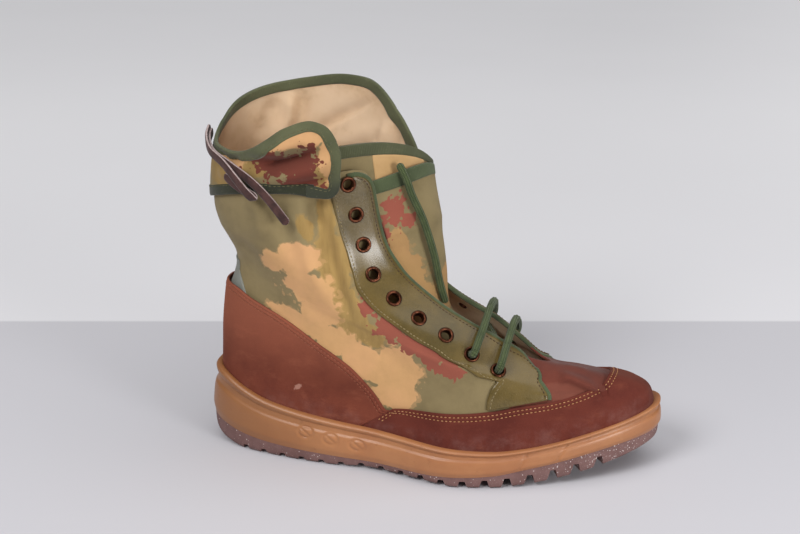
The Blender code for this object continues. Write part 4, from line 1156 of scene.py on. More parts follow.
def grown_mesh(name, seeds, tree, values):
    """Plain mesh that a tree of nodes grows on points and lines, with its named inputs set by identifier."""
    obj = scene_object(name + "_seeds", seeds)
    rows = obj.modifiers.new("rows", "NODES")
    rows.node_group = tree
    for item in tree.interface.items_tree:
        if item.item_type == "SOCKET" and item.in_out == "INPUT" and item.name in values:
            rows[item.identifier] = values[item.name]
    return settled_mesh(obj, name)


def node_group(name, inputs):
    tree = bpy.data.node_groups.new(name, "GeometryNodeTree")
    for word, kind in (("Geometry", "NodeSocketGeometry"), *inputs):
        tree.interface.new_socket(word, in_out="INPUT", socket_type=kind)
    tree.interface.new_socket("Geometry", in_out="OUTPUT", socket_type="NodeSocketGeometry")
    return tree, tree.nodes.new("NodeGroupInput").outputs, tree.nodes.new("NodeGroupOutput").inputs


def tied(tree, kind, settings=(), sockets=()):
    """Output of a new node in a geometry tree, with its settings and then its sockets' values or links."""
    made = tree.nodes.new(kind)
    for key, value in dict(settings).items():
        setattr(made, key, value)
    for key, value in dict(sockets).items():
        if isinstance(value, bpy.types.NodeSocket):
            tree.links.new(value, made.inputs[key])
        else:
            made.inputs[key].default_value = value
    return made.outputs[0]


def closed_tree(tree, placed, finish, result):
    """A geometry tree ended with its instances realized, smooth and in their finish."""
    real = tied(tree, "GeometryNodeRealizeInstances", (), {0: placed})
    smooth = tied(tree, "GeometryNodeSetShadeSmooth", (), {0: real})
    done = tied(tree, "GeometryNodeSetMaterial", (), {"Geometry": smooth, "Material": finish})
    tree.links.new(done, result["Geometry"])
    return tree


@lru_cache(maxsize=None)
def stitch_tree():
    """Stitches at a pitch along lines: each is a small bead of thread laid along its line."""
    tree, given, result = node_group("stitch_row", (
        ("Pitch", "NodeSocketFloat"), ("Size", "NodeSocketVector"), ("Thread", "NodeSocketMaterial")))
    line = tied(tree, "GeometryNodeMeshToCurve", (), {"Mesh": given["Geometry"]})
    spaced = tied(tree, "GeometryNodeResampleCurve", {"mode": "LENGTH"},
                  {"Curve": line, "Length": given["Pitch"]})
    tangent = tied(tree, "GeometryNodeInputTangent")
    turn = tied(tree, "FunctionNodeAlignRotationToVector", {"axis": "X"}, {"Vector": tangent})
    bead = tied(tree, "GeometryNodeMeshUVSphere", (), {"Segments": 8, "Rings": 5, "Radius": 1.0})
    placed = tied(tree, "GeometryNodeInstanceOnPoints", (), {
        "Points": spaced, "Instance": bead, "Rotation": turn, "Scale": given["Size"]})
    return closed_tree(tree, placed, given["Thread"], result)


def stitches(name, lines, finish, pitch, length, radius, slot):
    """Rows of stitches along lines of points."""
    points, edges = [], []
    for line in lines:
        start = len(points)
        points += to_metres(line).tolist()
        edges += [(k, k + 1) for k in range(start, len(points) - 1)]
    seeds = bpy.data.meshes.new(name + "_lines")
    seeds.from_pydata(points, edges, [])
    mesh = grown_mesh(name, seeds, stitch_tree(), {
        "Pitch": pitch * MM, "Thread": finish, "Size": (length / 2 * MM, radius * MM, radius * MM)})
    add_piece(name, mesh)


@lru_cache(maxsize=None)
def eyelet_tree():
    """Rolled rings on points, each turned to the point's own axis, with a barrel through the leather."""
    tree, given, result = node_group("eyelet_row", (
        ("Ring", "NodeSocketFloat"), ("Roll", "NodeSocketFloat"), ("Barrel", "NodeSocketFloat"),
        ("Metal", "NodeSocketMaterial")))
    ring = tied(tree, "GeometryNodeCurvePrimitiveCircle", (), {"Resolution": 28, "Radius": given["Ring"]})
    roll = tied(tree, "GeometryNodeCurvePrimitiveCircle", (), {"Resolution": 10, "Radius": given["Roll"]})
    rolled = tied(tree, "GeometryNodeCurveToMesh", (), {0: ring, 1: roll})
    flattened = tied(tree, "GeometryNodeTransform", (), {"Geometry": rolled, "Scale": (1, 1, 0.72)})
    deep = tied(tree, "ShaderNodeCombineXYZ", (), {"Z": given["Barrel"]})
    wall = tied(tree, "GeometryNodeCurvePrimitiveLine", (), {"End": deep})
    inner = tied(tree, "ShaderNodeMath", {"operation": "SUBTRACT"}, {0: given["Ring"], 1: given["Roll"]})
    bore = tied(tree, "GeometryNodeCurvePrimitiveCircle", (), {"Resolution": 20, "Radius": inner})
    barrel = tied(tree, "GeometryNodeCurveToMesh", (), {0: wall, 1: bore})
    whole = tied(tree, "GeometryNodeJoinGeometry")
    tree.links.new(flattened, whole.node.inputs[0])
    tree.links.new(barrel, whole.node.inputs[0])
    axis = tied(tree, "GeometryNodeInputNamedAttribute", {"data_type": "FLOAT_VECTOR"}, {"Name": "axis"})
    turn = tied(tree, "FunctionNodeAlignRotationToVector", {"axis": "Z"}, {"Vector": axis})
    placed = tied(tree, "GeometryNodeInstanceOnPoints", (), {
        "Points": given["Geometry"], "Instance": whole, "Rotation": turn})
    return closed_tree(tree, placed, given["Metal"], result)


# Folds: line through x, z as seen from the outer side or through x, y, z, half width, height, and
# maybe another half width below the line
SHAFT_FOLDS = (
    (((-63, 184), (-64, 172), (-62, 160)), 4.4, -6.0),
    (((-60, 164), (-56, 144), (-50, 124), (-40, 100)), 4.5, -3.0),
    (((-54, 180), (-52, 160), (-47, 138), (-38, 114)), 4.0, 3.4),
    (((-71, 184), (-73, 160), (-68, 140), (-58, 116)), 5.5, 2.2),
    (((-84, 184), (-86, 166), (-80, 148)), 5.0, -2.4),
    (((-120, 152), (-112, 138), (-114, 122)), 9.0, -1.8),
    (((-104, 182), (-98, 168), (-100, 152)), 6.0, 2.0),
    (((-92, 118), (-76, 104), (-56, 92)), 8.0, 1.4),
    (((-30, 84), (-10, 72), (8, 60)), 8.0, -1.1),
    (((-44, 88), (-22, 76), (2, 62), (24, 56)), 6.0, 0.9),
)
VAMP_FOLDS = (
    (((87.5, -20.5, 65.2), (92.5, -17, 64.9), (103.7, -16.2, 60.8), (113, -15, 58.2)), 6.0, 4.8, 1.2),
    (((85, -26, 60.5), (93, -22.5, 61.5), (101, -19, 59.5)), 2.6, -1.2),
    (((86, -29, 56.0), (94, -25, 57.0), (101, -21, 56.5)), 4.2, 1.4),
    (((88, -4, 71), (104, 0, 66)), 5.0, 0.8),
)
RAND_FOLDS = (
    (((113, -14, 57.5), (118, -11.5, 58.5)), 4.4, -3.2),
    (((116, -3, 62), (117, 5, 62)), 4.0, 0.9),
    (((40, 40), (60, 42), (80, 47)), 7.0, 0.5),
    (((120, -24, 50), (128, -18, 50)), 8.0, 0.7),
)
RIM_BULGE = 2.5
# Midsole wall from its foot to the bead and over the rim: outward offset, share of the wall's height
RUBBER_WALL = (
    ("foot", 0.2, 0.0),
    ("belly", 1.5, 0.2),
    ("side", 1.3, 0.45),
    ("shoulder", 0.7, 0.60),
    ("channel", -0.7, 0.70),
    ("channel_top", -1.0, 0.80),
    ("bead_under", 0.1, 0.86),
    ("bead", 0.7, 0.93),
    ("bead_top", -0.9, 0.99),
    ("rim", -3.0, 1.0),
    ("lip", -5.0, 0.97),
)
HEEL_DRAWN_IN = 3.4
# Seam between counter and rand on both sides: how far it leans, at its foot and at its top
SEAM_LEAN = (-0.05, 0.105)
SEAM_CLEAR = 0.004
# Rows of stitches under a suede edge, and each seam's stitch pitch, stitch length and thread radius
STITCH_ROWS = (2.2, 4.7)
RAND_STITCH, COUNTER_STITCH = (2.7, 1.6, 0.36), (2.7, 1.6, 0.34)
STAY_STITCH, CUFF_STITCH = (2.5, 1.9, 0.38), (2.8, 2.0, 0.26)
# Distances of an eyestay's two stitch rows from its edges
FRONT_ROW, REAR_ROW = 2.4, 2.2
EYELET_DRILL, EYELET_RING, EYELET_ROLL, EYELET_BARREL = 3.2, 4.1, 1.05, 4.0
# Outsole's edge from the ground up: inset, share of its height. Insole's edge: inset, height over the footbed
OUTSOLE_EDGE = ((3.0, 0.0), (1.7, 0.035), (0.9, 0.11), (0.45, 0.24), (0.15, 0.45), (0.0, 0.7), (0.0, 1.0))
INSOLE_EDGE = ((10.4, 0.0), (10.4, 2.2), (11.0, 2.8), (12.4, 3.0))
OUTSOLE_POINTS, MIDSOLE_POINTS, MIDSOLE_ROWS, INSOLE_POINTS = 420, 960, 81, 160
# Depth of the notches between the edge lugs, by place along the foot
NOTCH_X, NOTCH_DEPTH = (-121, -40, 20, 70, 120), (3.4, 2.8, 4.2, 7.0, 7.4)
# Marks moulded into the midsole's outer wall, seen from the side: middles of ovals, ends of slanted lines
OVAL_MARKS, OVAL_HALF = ((-75.2, 21.8), (-57.8, 19.2), (-39.6, 17.2)), (5.0, 3.5)
LINE_MARKS = (((67.5, 13.5), (72.0, 24.0)), ((90.5, 17.5), (96.0, 28.5)))


def sole_between(low, high, share, drop=0.0):
    """Height at a share of the way from one of the sole's heights to another, by place along the foot."""
    return lambda x: sole_height(low, x) * (1 - share) + (sole_height(high, x) - drop) * share


def make_sole_pieces(rubber, crumbs, cloth):
    loops = [sole_ring(inset, sole_between("underside", "outsole_top", share, 0.1), OUTSOLE_POINTS)
             for inset, share in OUTSOLE_EDGE]
    outsole = lofted_mesh("outsole_rubber", loops, [crumbs])
    outsole = cut_away(outsole, tread_cutter(), "outsole_rubber", crossing=True)
    outsole.shade_smooth()
    outsole.set_sharp_from_angle(angle=math.radians(32))
    add_piece("outsole_rubber", outsole, ["outsole"])

    place = np.arange(len(RUBBER_WALL), dtype=float)
    rows = np.linspace(0, len(RUBBER_WALL) - 1, MIDSOLE_ROWS)
    offsets, shares = (ramp(place, [w[k] for w in RUBBER_WALL], rows) for k in (1, 2))
    loops = []
    for offset, share in zip(offsets, shares):
        loop = sole_ring(-offset, sole_between("outsole_top", "rim", share), MIDSOLE_POINTS)
        loop[:, 0] += HEEL_DRAWN_IN * share * np.clip((-110 - loop[:, 0]) / 40, 0, 1)
        loop[:, 1] += moulded_marks(loop)
        loops.append(loop)
    loops.append(sole_ring(CUP_INSET + 0.9, lambda x: sole_height("footbed", x), MIDSOLE_POINTS))
    midsole = lofted_mesh("midsole_rubber", loops, [rubber])
    midsole.set_sharp_from_angle(angle=math.radians(50))
    add_piece("midsole_rubber", midsole, ["midsole"])

    loops = [sole_ring(inset, lambda x, up=up: sole_height("footbed", x) + GAP + up, INSOLE_POINTS)
             for inset, up in INSOLE_EDGE]
    add_piece("insole_cloth", lofted_mesh("insole_cloth", loops, [cloth]), ["insole"])


def moulded_marks(loop):
    """Sideways dents of the marks in the midsole's outer wall: ovals with a slash, and lines ahead."""
    x, z = loop[:, 0], loop[:, 2]
    dent = np.zeros(len(x))
    for cx, cz in OVAL_MARKS:
        reach = np.hypot((x - cx) / OVAL_HALF[0], (z - cz) / OVAL_HALF[1])
        slash = np.abs((x - cx) * 0.75 + (z - cz)) / 0.85
        oval = 0.75 * np.exp(-((reach - 1) / 0.2) ** 2)
        dent += oval + 0.6 * np.exp(-slash ** 2) * np.clip(4 - 4 * reach, 0, 1)
    for (x0, z0), (x1, z1) in LINE_MARKS:
        along = (x - x0) * (x1 - x0) + (z - z0) * (z1 - z0)
        t = np.clip(along / ((x1 - x0) ** 2 + (z1 - z0) ** 2), 0, 1)
        near = np.hypot(x - x0 - t * (x1 - x0), z - z0 - t * (z1 - z0))
        dent += 0.7 * np.exp(-(near / 0.7) ** 2)
    return np.where(loop[:, 1] < 0, dent, 0)


def lofted_mesh(name, loops, finishes):
    """Closed solid through loops of equal count, with a ladder of quads across its first and last loop."""
    count, rows = len(loops[0]), len(loops)
    faces = tube_faces(rows, count)
    for start in (0, (rows - 1) * count):
        for k in range(count // 2):
            faces.append([start + j for j in dict.fromkeys((k, k + 1, count - k - 1, (count - k) % count))])
    return faced_out(mesh_of(name, np.concatenate(loops), faces, finishes))


def cutter_mesh(body, name):
    mesh = bpy.data.meshes.new(name)
    body.to_mesh(mesh)
    body.free()
    return mesh


def tread_cutter():
    """Notches between the edge lugs, and slanted grooves under the foot that lead into them."""
    body = bmesh.new()
    for k in range(LUG_COUNT):
        x = FIRST_LUG_X + k * LUG_PITCH
        depth = float(ramp(NOTCH_X, NOTCH_DEPTH, x)[0])
        for side in (LATERAL, MEDIAL):
            add_notch(body, x, side, depth)
    bmesh.ops.recalc_face_normals(body, faces=body.faces)
    return cutter_mesh(body, "tread_cutter")


def add_notch(body, x, side, depth):
    """One notch: a wedge wider at the ground, square to the outline, with a narrow groove behind it."""
    step = 1.0
    y, ahead = centre_line((x, x + step)) + side * sole_half(np.array([x, x + step]), 0, side)
    along = Vector((step, ahead - y, 0)).normalized()
    inward = Vector((-along.y, along.x, 0)) * -side
    ground = float(sole_height("underside", x)[0])
    reach = abs(y - float(centre_line(x)[0])) - 3.0
    for near, far, foot_half, top_half, deep, drift in ((-4.0, 15.0, 4.9, 1.7, depth, 0.0),
                                                        (14.5, reach, 2.2, 1.5, 1.9, 5.0)):
        made = bmesh.ops.create_cube(body, size=1)["verts"]
        for vert in made:
            half = top_half if vert.co.z > 0 else foot_half
            go = far if vert.co.y > 0 else near
            place = Vector((x, y, 0)) + along * (math.copysign(half, vert.co.x))
            place += inward * go + along * (drift if go == far else 0)
            place.z = ground + (deep if vert.co.z > 0 else -4.0)
            vert.co = Vector(to_metres(place))


def upper_grid():
    """Points and normals of the canvas, with its folds: rows up the boot, columns round it."""
    stretches = ((0, 5, 58), (5, 5.12, 7), (5.12, 5.5, 9), (5.5, TOP_RING, 62))
    levels = np.concatenate([[0.0]] + [np.linspace(*stretch)[1:] for stretch in stretches])
    turns = np.linspace(-1, 1, 281)
    level, turn = grid_of(levels, turns)
    side = np.where(turn < 0, LATERAL, MEDIAL)
    angle = np.abs(turn) * edge_angle(levels)[:, None]
    points = skin(level, angle, side)
    normals = skin_normal(level, angle, side)
    seam = int((levels <= THROAT_RING).sum())
    for column in (0, -1):
        normals[:seam, column] = unit(normals[:seam, 0] * (1, 0, 1) + normals[:seam, -1] * (1, 0, 1))
    inner_rise = 0.7 * soft_folds(points + np.array([4.0, 0, -3.0]), SHAFT_FOLDS)
    rise = np.where(side < 0, soft_folds(points, SHAFT_FOLDS + VAMP_FOLDS), inner_rise)
    rise *= np.clip(level / 1.5, 0, 1)
    return points + normals * rise[..., None], normals, seam


def make_upper(canvas, lining):
    points, normals, seam = upper_grid()
    mesh = slab_mesh("upper_canvas", points, points - normals * CANVAS_WALL, [canvas, lining, canvas], seam)
    mesh = cut_away(mesh, eyelet_drill(), "upper_canvas")
    add_piece("upper_canvas", mesh, ["upper"])


def eyelet_drill():
    """Round cutters through every eyelet's place."""
    body, radius = bmesh.new(), EYELET_DRILL * MM
    for side in (LATERAL, MEDIAL):
        places, normals, _ = eyelet_seats(side)
        for place, normal in zip(places, normals):
            turn = Vector(normal).to_track_quat("Z", "Y").to_matrix().to_4x4()
            turn.translation = Vector(to_metres(place))
            bmesh.ops.create_cone(body, cap_ends=True, segments=20, radius1=radius, radius2=radius,
                                  depth=14 * MM, matrix=turn)
    return cutter_mesh(body, "eyelet_drill")


def seam_lean(angle, share):
    """How far a suede piece's grid is sheared beside the leaning seam."""
    near = np.clip(1 - np.abs(angle - SUEDE_SPLIT) / 0.6, 0, 1)
    return near * (SEAM_LEAN[0] + (SEAM_LEAN[1] - SEAM_LEAN[0]) * share)


def suede_grid(angle, side, top, flare, folds):
    """Rows of a suede piece from inside the sole's cup to its top edge, where the face is eased over."""
    share = np.concatenate([np.linspace(0, 0.75, 26), np.linspace(0.75, 0.985, 30)[1:],
                            [0.99, 0.994, 0.998, 1.0]])
    level = 0.05 + (top[None] - 0.05) * share[:, None]
    sides = np.broadcast_to(side, level.shape)
    angles = angle[None] + seam_lean(angle[None], np.clip((share[:, None] - 0.3) / 0.7, 0, 1))
    below = skin(level, angles, sides)
    normals = skin_normal(level, angles, sides)
    from_top = grid_lengths(below)[..., 1]
    from_top = from_top[-1] - from_top
    above_rim = below[..., 2] - sole_height("rim", below[..., 0].ravel()).reshape(level.shape)
    bulge = RIM_BULGE * np.clip((below[..., 0] + 142) / 40, 0.1, 1)
    lift = flare(share[:, None], angles) + bulge * np.exp(-(np.maximum(above_rim, 0) / 11.0) ** 2)
    eased = np.sqrt(np.clip(1 - (1 - np.clip(from_top / 1.3, 0, 1)) ** 2, 0, 1))
    face = GAP + SUEDE * eased * 0.7 + SUEDE * 0.3
    for row in STITCH_ROWS:
        face = face - 0.3 * np.exp(-((from_top - row) / 0.5) ** 2)
    face = face + 0.25 * np.exp(-((from_top - sum(STITCH_ROWS) / 2) / 0.8) ** 2)
    face = face + np.where(sides < 0, soft_folds(below, folds), 0.6 * soft_folds(below, folds))
    outer = below + normals * (face + lift)[..., None]
    inner = below + normals * (0.25 + lift)[..., None]
    return outer, inner, from_top


def row_at(outer, from_top, distance):
    """Line of points at a distance under the top edge of a suede piece."""
    return np.array([[np.interp(-distance, -from_top[:, k], outer[:, k, axis]) for axis in range(3)]
                     for k in range(outer.shape[1])])


def suede_piece(node, half, first, edge, flare, folds, finishes):
    """One suede piece over both sides of the boot, from the first side to the other. Gives its outer face,
    the distances under its top edge and its rows of stitches."""
    angle = np.concatenate([half, half[-2::-1]])
    side = np.concatenate([np.full(len(half), first), np.full(len(half) - 1, -first)])
    top = suede_top(*edge, angle + seam_lean(angle, 1), side)
    outer, inner, from_top = suede_grid(angle, side, top, flare, folds)
    add_slab(node + "_suede", outer, inner, finishes, [node])
    return outer, from_top, [row_at(outer, from_top, distance)[3:-3] for distance in STITCH_ROWS]


def make_suede(finish, counter, cut_edge, rand_thread, counter_thread):
    half = np.linspace(SUEDE_SPLIT + SEAM_CLEAR, math.pi, 150)
    still = lambda share, angles: np.zeros(np.broadcast_shapes(share.shape, angles.shape))
    outer, from_top, rows = suede_piece("toe_rand", half, LATERAL, (RAND_EDGE_X, RAND_EDGE_Z), still,
                                        RAND_FOLDS, [finish, finish, cut_edge])
    for column in (2, 4, -5, -3):
        rows.append(outer[(from_top[:, column] > 5) & (from_top[:, column] < 15), column])
    stitches("rand_stitching", rows, rand_thread, *RAND_STITCH, "suede")

    half = np.linspace(0, SUEDE_SPLIT - SEAM_CLEAR, 120)[::-1]
    flare = lambda share, angles: COUNTER_FLARE * share ** 5 * np.clip(np.cos(angles * 1.6), 0, 1)
    _, _, rows = suede_piece("heel_counter", half, MEDIAL, (COUNTER_EDGE_X, COUNTER_EDGE_Z), flare, (),
                             [counter, finish, cut_edge])
    stitches("counter_stitching", rows, counter_thread, *COUNTER_STITCH, "suede")


STRAP_LEVELS, STRAP_THICKNESS = (2.6, 5.4), 0.9


def make_back_strap(finish):
    """Narrow strap on the back seam, from under the counter up into the waist. Its grey cloth colour is a
    painted highlight.
    """
    level, across = grid_of(np.linspace(*STRAP_LEVELS, 40), eased_shares(9, 0.06, 2))
    offset = (across - 0.5) * 2
    angle = np.abs(offset) * (0.30 + 0.34 * np.clip((4.6 - level) / 2, 0, 1))
    side = np.where(offset < 0, LATERAL, MEDIAL)
    points, normals = skin(level, angle, side), skin_normal(level, angle, side)
    middle = np.abs(offset) < 1e-6
    normals[middle] = unit(normals[middle] * (1, 0, 1))
    outer = points + normals * (STRAP_THICKNESS * eased_edge(across, 0.12))[..., None]
    add_slab("back_strap", outer, points - normals * 0.2, [finish] * 3)


def throat_binding(name, edge, toward, up, tape):
    """Tape along a throat edge, on the side toward the gap."""
    along = unit(np.gradient(edge, axis=0))
    gap_side = unit(toward - along * (toward * along).sum(axis=-1, keepdims=True))
    section = flat_oval(1.9, 1.5, 22) + np.array([0.6, -0.2])
    add_piece(name, swept_mesh(name, edge, gap_side, up, section, [tape]))


def eyestay_grid(side, across):
    """Levels and angles of an eyestay at shares across it, drawn in to a rounded corner at its top."""
    patch = stay_patch(230, 2, side)
    near_top = np.clip(np.linspace(-21, 1, len(patch[0])), 0, 1)[:, None]
    drawn_in = 0.5 * (1 - np.sqrt(1 - near_top ** 2))
    share = drawn_in + (1 - drawn_in) * across
    return (values[:, :1] * (1 - share) + values[:, 1:] * share for values in patch)


def make_eyestays(leather, tape, front_thread, rear_thread):
    across = eased_shares(17, 0.05, 4)
    for side, word in ((LATERAL, "lateral"), (MEDIAL, "medial")):
        level, angle = eyestay_grid(side, across)
        sides = np.full(level.shape, side)
        below, normals = skin(level, angle, sides), skin_normal(level, angle, sides)
        face = GAP + EYESTAY_LEATHER * eased_edge(across, 0.05)[None]
        width = np.linalg.norm(below[:, -1] - below[:, 0], axis=-1)[:, None]
        rise = 0.4 * soft_folds(below, SHAFT_FOLDS) if side == LATERAL else np.zeros(level.shape)
        for row in (FRONT_ROW, width - REAR_ROW):
            face = face - 0.28 * np.exp(-((across[None] * width - row) / 0.55) ** 2)
        outer = below + normals * (face + rise)[..., None]
        name = "eyestay_leather_" + word
        mesh = slab_mesh(name, outer, below + normals * 0.2, [leather] * 3)
        add_piece(name, cut_away(mesh, eyelet_drill(), name), ["eyestay_" + word])
        for edge_word, reach, sewn in (("front", np.full(len(width), FRONT_ROW), front_thread),
                                       ("rear", width[:, 0] - REAR_ROW, rear_thread)):
            share = np.clip(reach / width[:, 0], 0.02, 0.98)
            line = np.stack([[np.interp(s, across, outer[k, :, axis]) for axis in range(3)]
                             for k, s in enumerate(share)])
            stitches(f"eyestay_{edge_word}_stitching_{word}", [line[3:-3]], sewn, *STAY_STITCH, "leather")
        throat_binding("throat_binding_" + word, below[:, 0], unit(below[:, 0] - below[:, 3]), normals[:, 0],
                       tape)


def make_eyelets(metal):
    points, axes = [], []
    for side in (LATERAL, MEDIAL):
        places, normals, seats = eyelet_seats(side)
        points.append(places + normals * (seats - EYELET_LIFT + 0.15)[:, None])
        axes.append(-normals)
    seeds = bpy.data.meshes.new("eyelet_places")
    seeds.from_pydata(to_metres(np.concatenate(points)).tolist(), [], [])
    axis = seeds.attributes.new("axis", "FLOAT_VECTOR", "POINT")
    axis.data.foreach_set("vector", np.concatenate(axes).ravel())
    mesh = grown_mesh("eyelets", seeds, eyelet_tree(), {
        "Ring": EYELET_RING * MM, "Roll": EYELET_ROLL * MM, "Barrel": EYELET_BARREL * MM, "Metal": metal})
    names = [f"eyelet_{word}_{k}" for word in ("lateral", "medial") for k in range(1, EYELET_COUNT + 1)]
    add_piece("eyelets", mesh, names)


def tongue_sheet(name, across, along, front, back, finishes, nodes=()):
    """Sheet on the tongue between two standoffs from its middle surface."""
    add_slab(name, off_tongue(across, along, front), off_tongue(across, along, back), finishes, nodes)


def pocket_face(up, out):
    """Places across and along the tongue, and standoff, at shares up and across the pocket."""
    across = POCKET_ACROSS[0] + (POCKET_ACROSS[1] - POCKET_ACROSS[0]) * out
    along = POCKET_ALONG[0] + (POCKET_ALONG[1] + POCKET_TILT * out - POCKET_ALONG[0]) * up
    rise = POCKET_MOUTH * np.minimum(up, 1) ** 2 * np.sin(math.pi * out)
    return across, along, TONGUE_THICKNESS / 2 + GAP * 0.6 + rise


def make_tongue(canvas, patch, lining, tape, band_tape):
    along, across = grid_of(np.linspace(0, 1, 150), eased_shares(60, 0.02, 2) * 2 - 1)
    half = TONGUE_THICKNESS / 2 * eased_edge((across + 1) / 2, 0.03)
    wave = 0.9 * np.sin(along * 16 + across * 1.5) * np.clip(along - 0.45, 0, 1) * (1 - np.abs(across) ** 2)
    wave = wave * np.clip((0.66 - along) / 0.1, 0, 1)
    cloth = [canvas, lining, canvas]
    tongue_sheet("tongue_canvas", across, along, half + wave, wave - half, cloth, ["tongue"])
    strip = np.linspace(BINDING_FOOT, BINDING_FOOT + BINDING_TALL, 12)
    along, across = grid_of(strip, np.linspace(-1, 1, 80))
    front = TONGUE_THICKNESS / 2 + 0.75 * eased_edge((along - BINDING_FOOT) / BINDING_TALL, 0.3)
    tongue_sheet("tongue_binding", across, along, front, -front, [tape] * 3)

    up, out = grid_of(np.linspace(0, 1, 60), np.linspace(0, 1, 60))
    across, along, stand = pocket_face(up, out)
    sewn_down = np.clip(up / 0.3, 0, 1) ** 2
    face = (TONGUE_THICKNESS / 2 - 0.3) * (1 - sewn_down) + (stand + POCKET_THICKNESS) * sewn_down
    under = (TONGUE_THICKNESS / 2 - 0.8) * (1 - sewn_down) + stand * sewn_down
    tongue_sheet("tongue_pocket_canvas", across, along, face, under, cloth, ["tongue_pocket"])
    share, out = grid_of(np.linspace(0, 1, 12), np.linspace(0, 1, 60))
    across, along, stand = pocket_face(BAND_FOOT + BAND_TALL * share, out)
    swell = 0.6 * eased_edge(share, 0.25)
    tongue_sheet("pocket_band", across, along, stand + POCKET_THICKNESS + swell, stand - swell * 0.5,
                 [band_tape] * 3)
    along, across = grid_of(np.linspace(*PATCH_ALONG, 12), np.linspace(*PATCH_ACROSS, 40))
    spread = (across - PATCH_ACROSS[0]) / (PATCH_ACROSS[1] - PATCH_ACROSS[0])
    front = TONGUE_THICKNESS / 2 + 0.1 + 0.25 * eased_edge(spread, 0.05)
    tongue_sheet("bare_patch", across, along, front, front - 0.3, [patch] * 3)


# Folds of the slumped cuff on its near and far side, in the same columns
CUFF_FOLDS = (
    (((-132, 206), (-120, 202), (-108, 204)), 3.5, -3.6),
    (((-128, 192), (-118, 194), (-106, 198)), 4.0, 2.2),
    (((-104, 210), (-88, 211), (-72, 217), (-58, 216)), 5.0, 4.6, 3.0),
    (((-100, 201), (-80, 205), (-60, 210)), 3.6, -6.2),
    (((-92, 190), (-80, 196), (-66, 200), (-54, 206)), 4.5, 4.2),
    (((-78, 188), (-62, 192), (-50, 196)), 3.6, -3.6),
)
FAR_CUFF_FOLDS = (
    (((-124, 198), (-118, 212), (-112, 226)), 5.0, 2.6),
    (((-114, 194), (-106, 212), (-104, 230)), 4.5, -3.4),
    (((-102, 200), (-97, 216), (-95, 232)), 4.0, 2.0),
    (((-92, 198), (-72, 212), (-48, 226)), 5.0, 3.2, 2.0),
    (((-84, 190), (-62, 200), (-40, 212)), 7.0, -1.8),
    (((-46, 188), (-38, 200), (-34, 216)), 4.5, -4.4),
    (((-36, 188), (-28, 204), (-26, 222)), 4.5, 2.4),
)
NEAR_CORNER, FAR_CORNER, BINDING_WIDE, SEAM_TAPE_WIDE = 10.5, 28.0, 6.0, 6.8
NEAR_TALL, FAR_TALL, TURN_LENGTH = 34.0, 46.0, 160.0
BORDER_POINTS, TOP_POINT, FAR_SIDE_POINT = 430, 140, 240


def corner(distance, radius):
    """How far a rounded corner draws an edge in, at a distance from the corner's end."""
    near = np.clip(1 - distance / radius, 0, 1)
    return radius * (1 - np.sqrt(1 - near ** 2)) / TURN_LENGTH


def cuff_ends(share):
    """Turns of the cuff's two front edges at a share of its height, rounded at the corners."""
    near = NEAR_TURN + corner(share * NEAR_TALL, NEAR_CORNER) + corner((1 - share) * NEAR_TALL, NEAR_CORNER)
    return near, FAR_TURN - corner((1 - share) * FAR_TALL, FAR_CORNER)


def cuff_folded(turn, share):
    points = cuff_point(turn, share)
    fold = np.where(turn < 0, soft_folds(points, CUFF_FOLDS), soft_folds(points, FAR_CUFF_FOLDS))
    fade = np.clip(share / 0.25, 0, 1) * np.clip((FAR_TURN - turn) / 0.14, 0, 1)
    return points + unit(from_shaft(points)) * (fold * fade)[..., None]


def cuff_face(turn, share):
    """Points of the cuff's inner face, normals to its outside, and how points move with turn and share."""
    step = 0.004
    low, high = np.maximum(turn - step, NEAR_TURN), np.minimum(turn + step, FAR_TURN)
    down, up = np.maximum(share - step, 0), np.minimum(share + step, 1)
    by_turn = (cuff_folded(high, share) - cuff_folded(low, share)) / (high - low)[..., None]
    by_share = (cuff_folded(turn, up) - cuff_folded(turn, down)) / (up - down)[..., None]
    points = cuff_folded(turn, share)
    normals = unit(np.cross(by_turn, by_share))
    away = np.sign((normals * from_shaft(points)).sum(axis=-1, keepdims=True))
    return points, normals * away, by_turn, by_share


def cuff_border():
    """Turn and share along the bound edge: round the near corner, up, along the top, down the far side."""
    bend = 1 - np.cos(np.linspace(0, math.pi / 2, 30))
    near = np.concatenate([NEAR_CORNER / NEAR_TALL * bend, np.linspace(0.3, 0.7, 8),
                           1 - NEAR_CORNER / NEAR_TALL * bend[::-1]])
    round_far = FAR_CORNER / FAR_TALL
    far = np.concatenate([1 - round_far * bend, np.linspace(1 - round_far, 0, 20)[1:]])
    turn = np.concatenate([np.linspace(cuff_ends(0)[0] + 0.07, cuff_ends(0)[0], 10)[:-1], cuff_ends(near)[0],
                           np.linspace(cuff_ends(1)[0], cuff_ends(1)[1], 300)[1:-1], cuff_ends(far)[1]])
    share = np.concatenate([np.zeros(9), near, np.ones(298), far])
    run = run_along(cuff_folded(turn, share))
    even = np.linspace(0, run[-1], BORDER_POINTS)
    turn, share = np.interp(even, run, turn), np.interp(even, run, share)
    far_half = np.arange(BORDER_POINTS) > FAR_SIDE_POINT
    return np.where(far_half, softened(turn, 14), turn), np.where(far_half, softened(share, 14), share)


def softened(values, reach=9):
    """Values along a line averaged with their neighbours."""
    weight = np.hanning(2 * reach + 3)[1:-1]
    return np.convolve(np.pad(values, reach, mode="edge"), weight / weight.sum(), mode="valid")


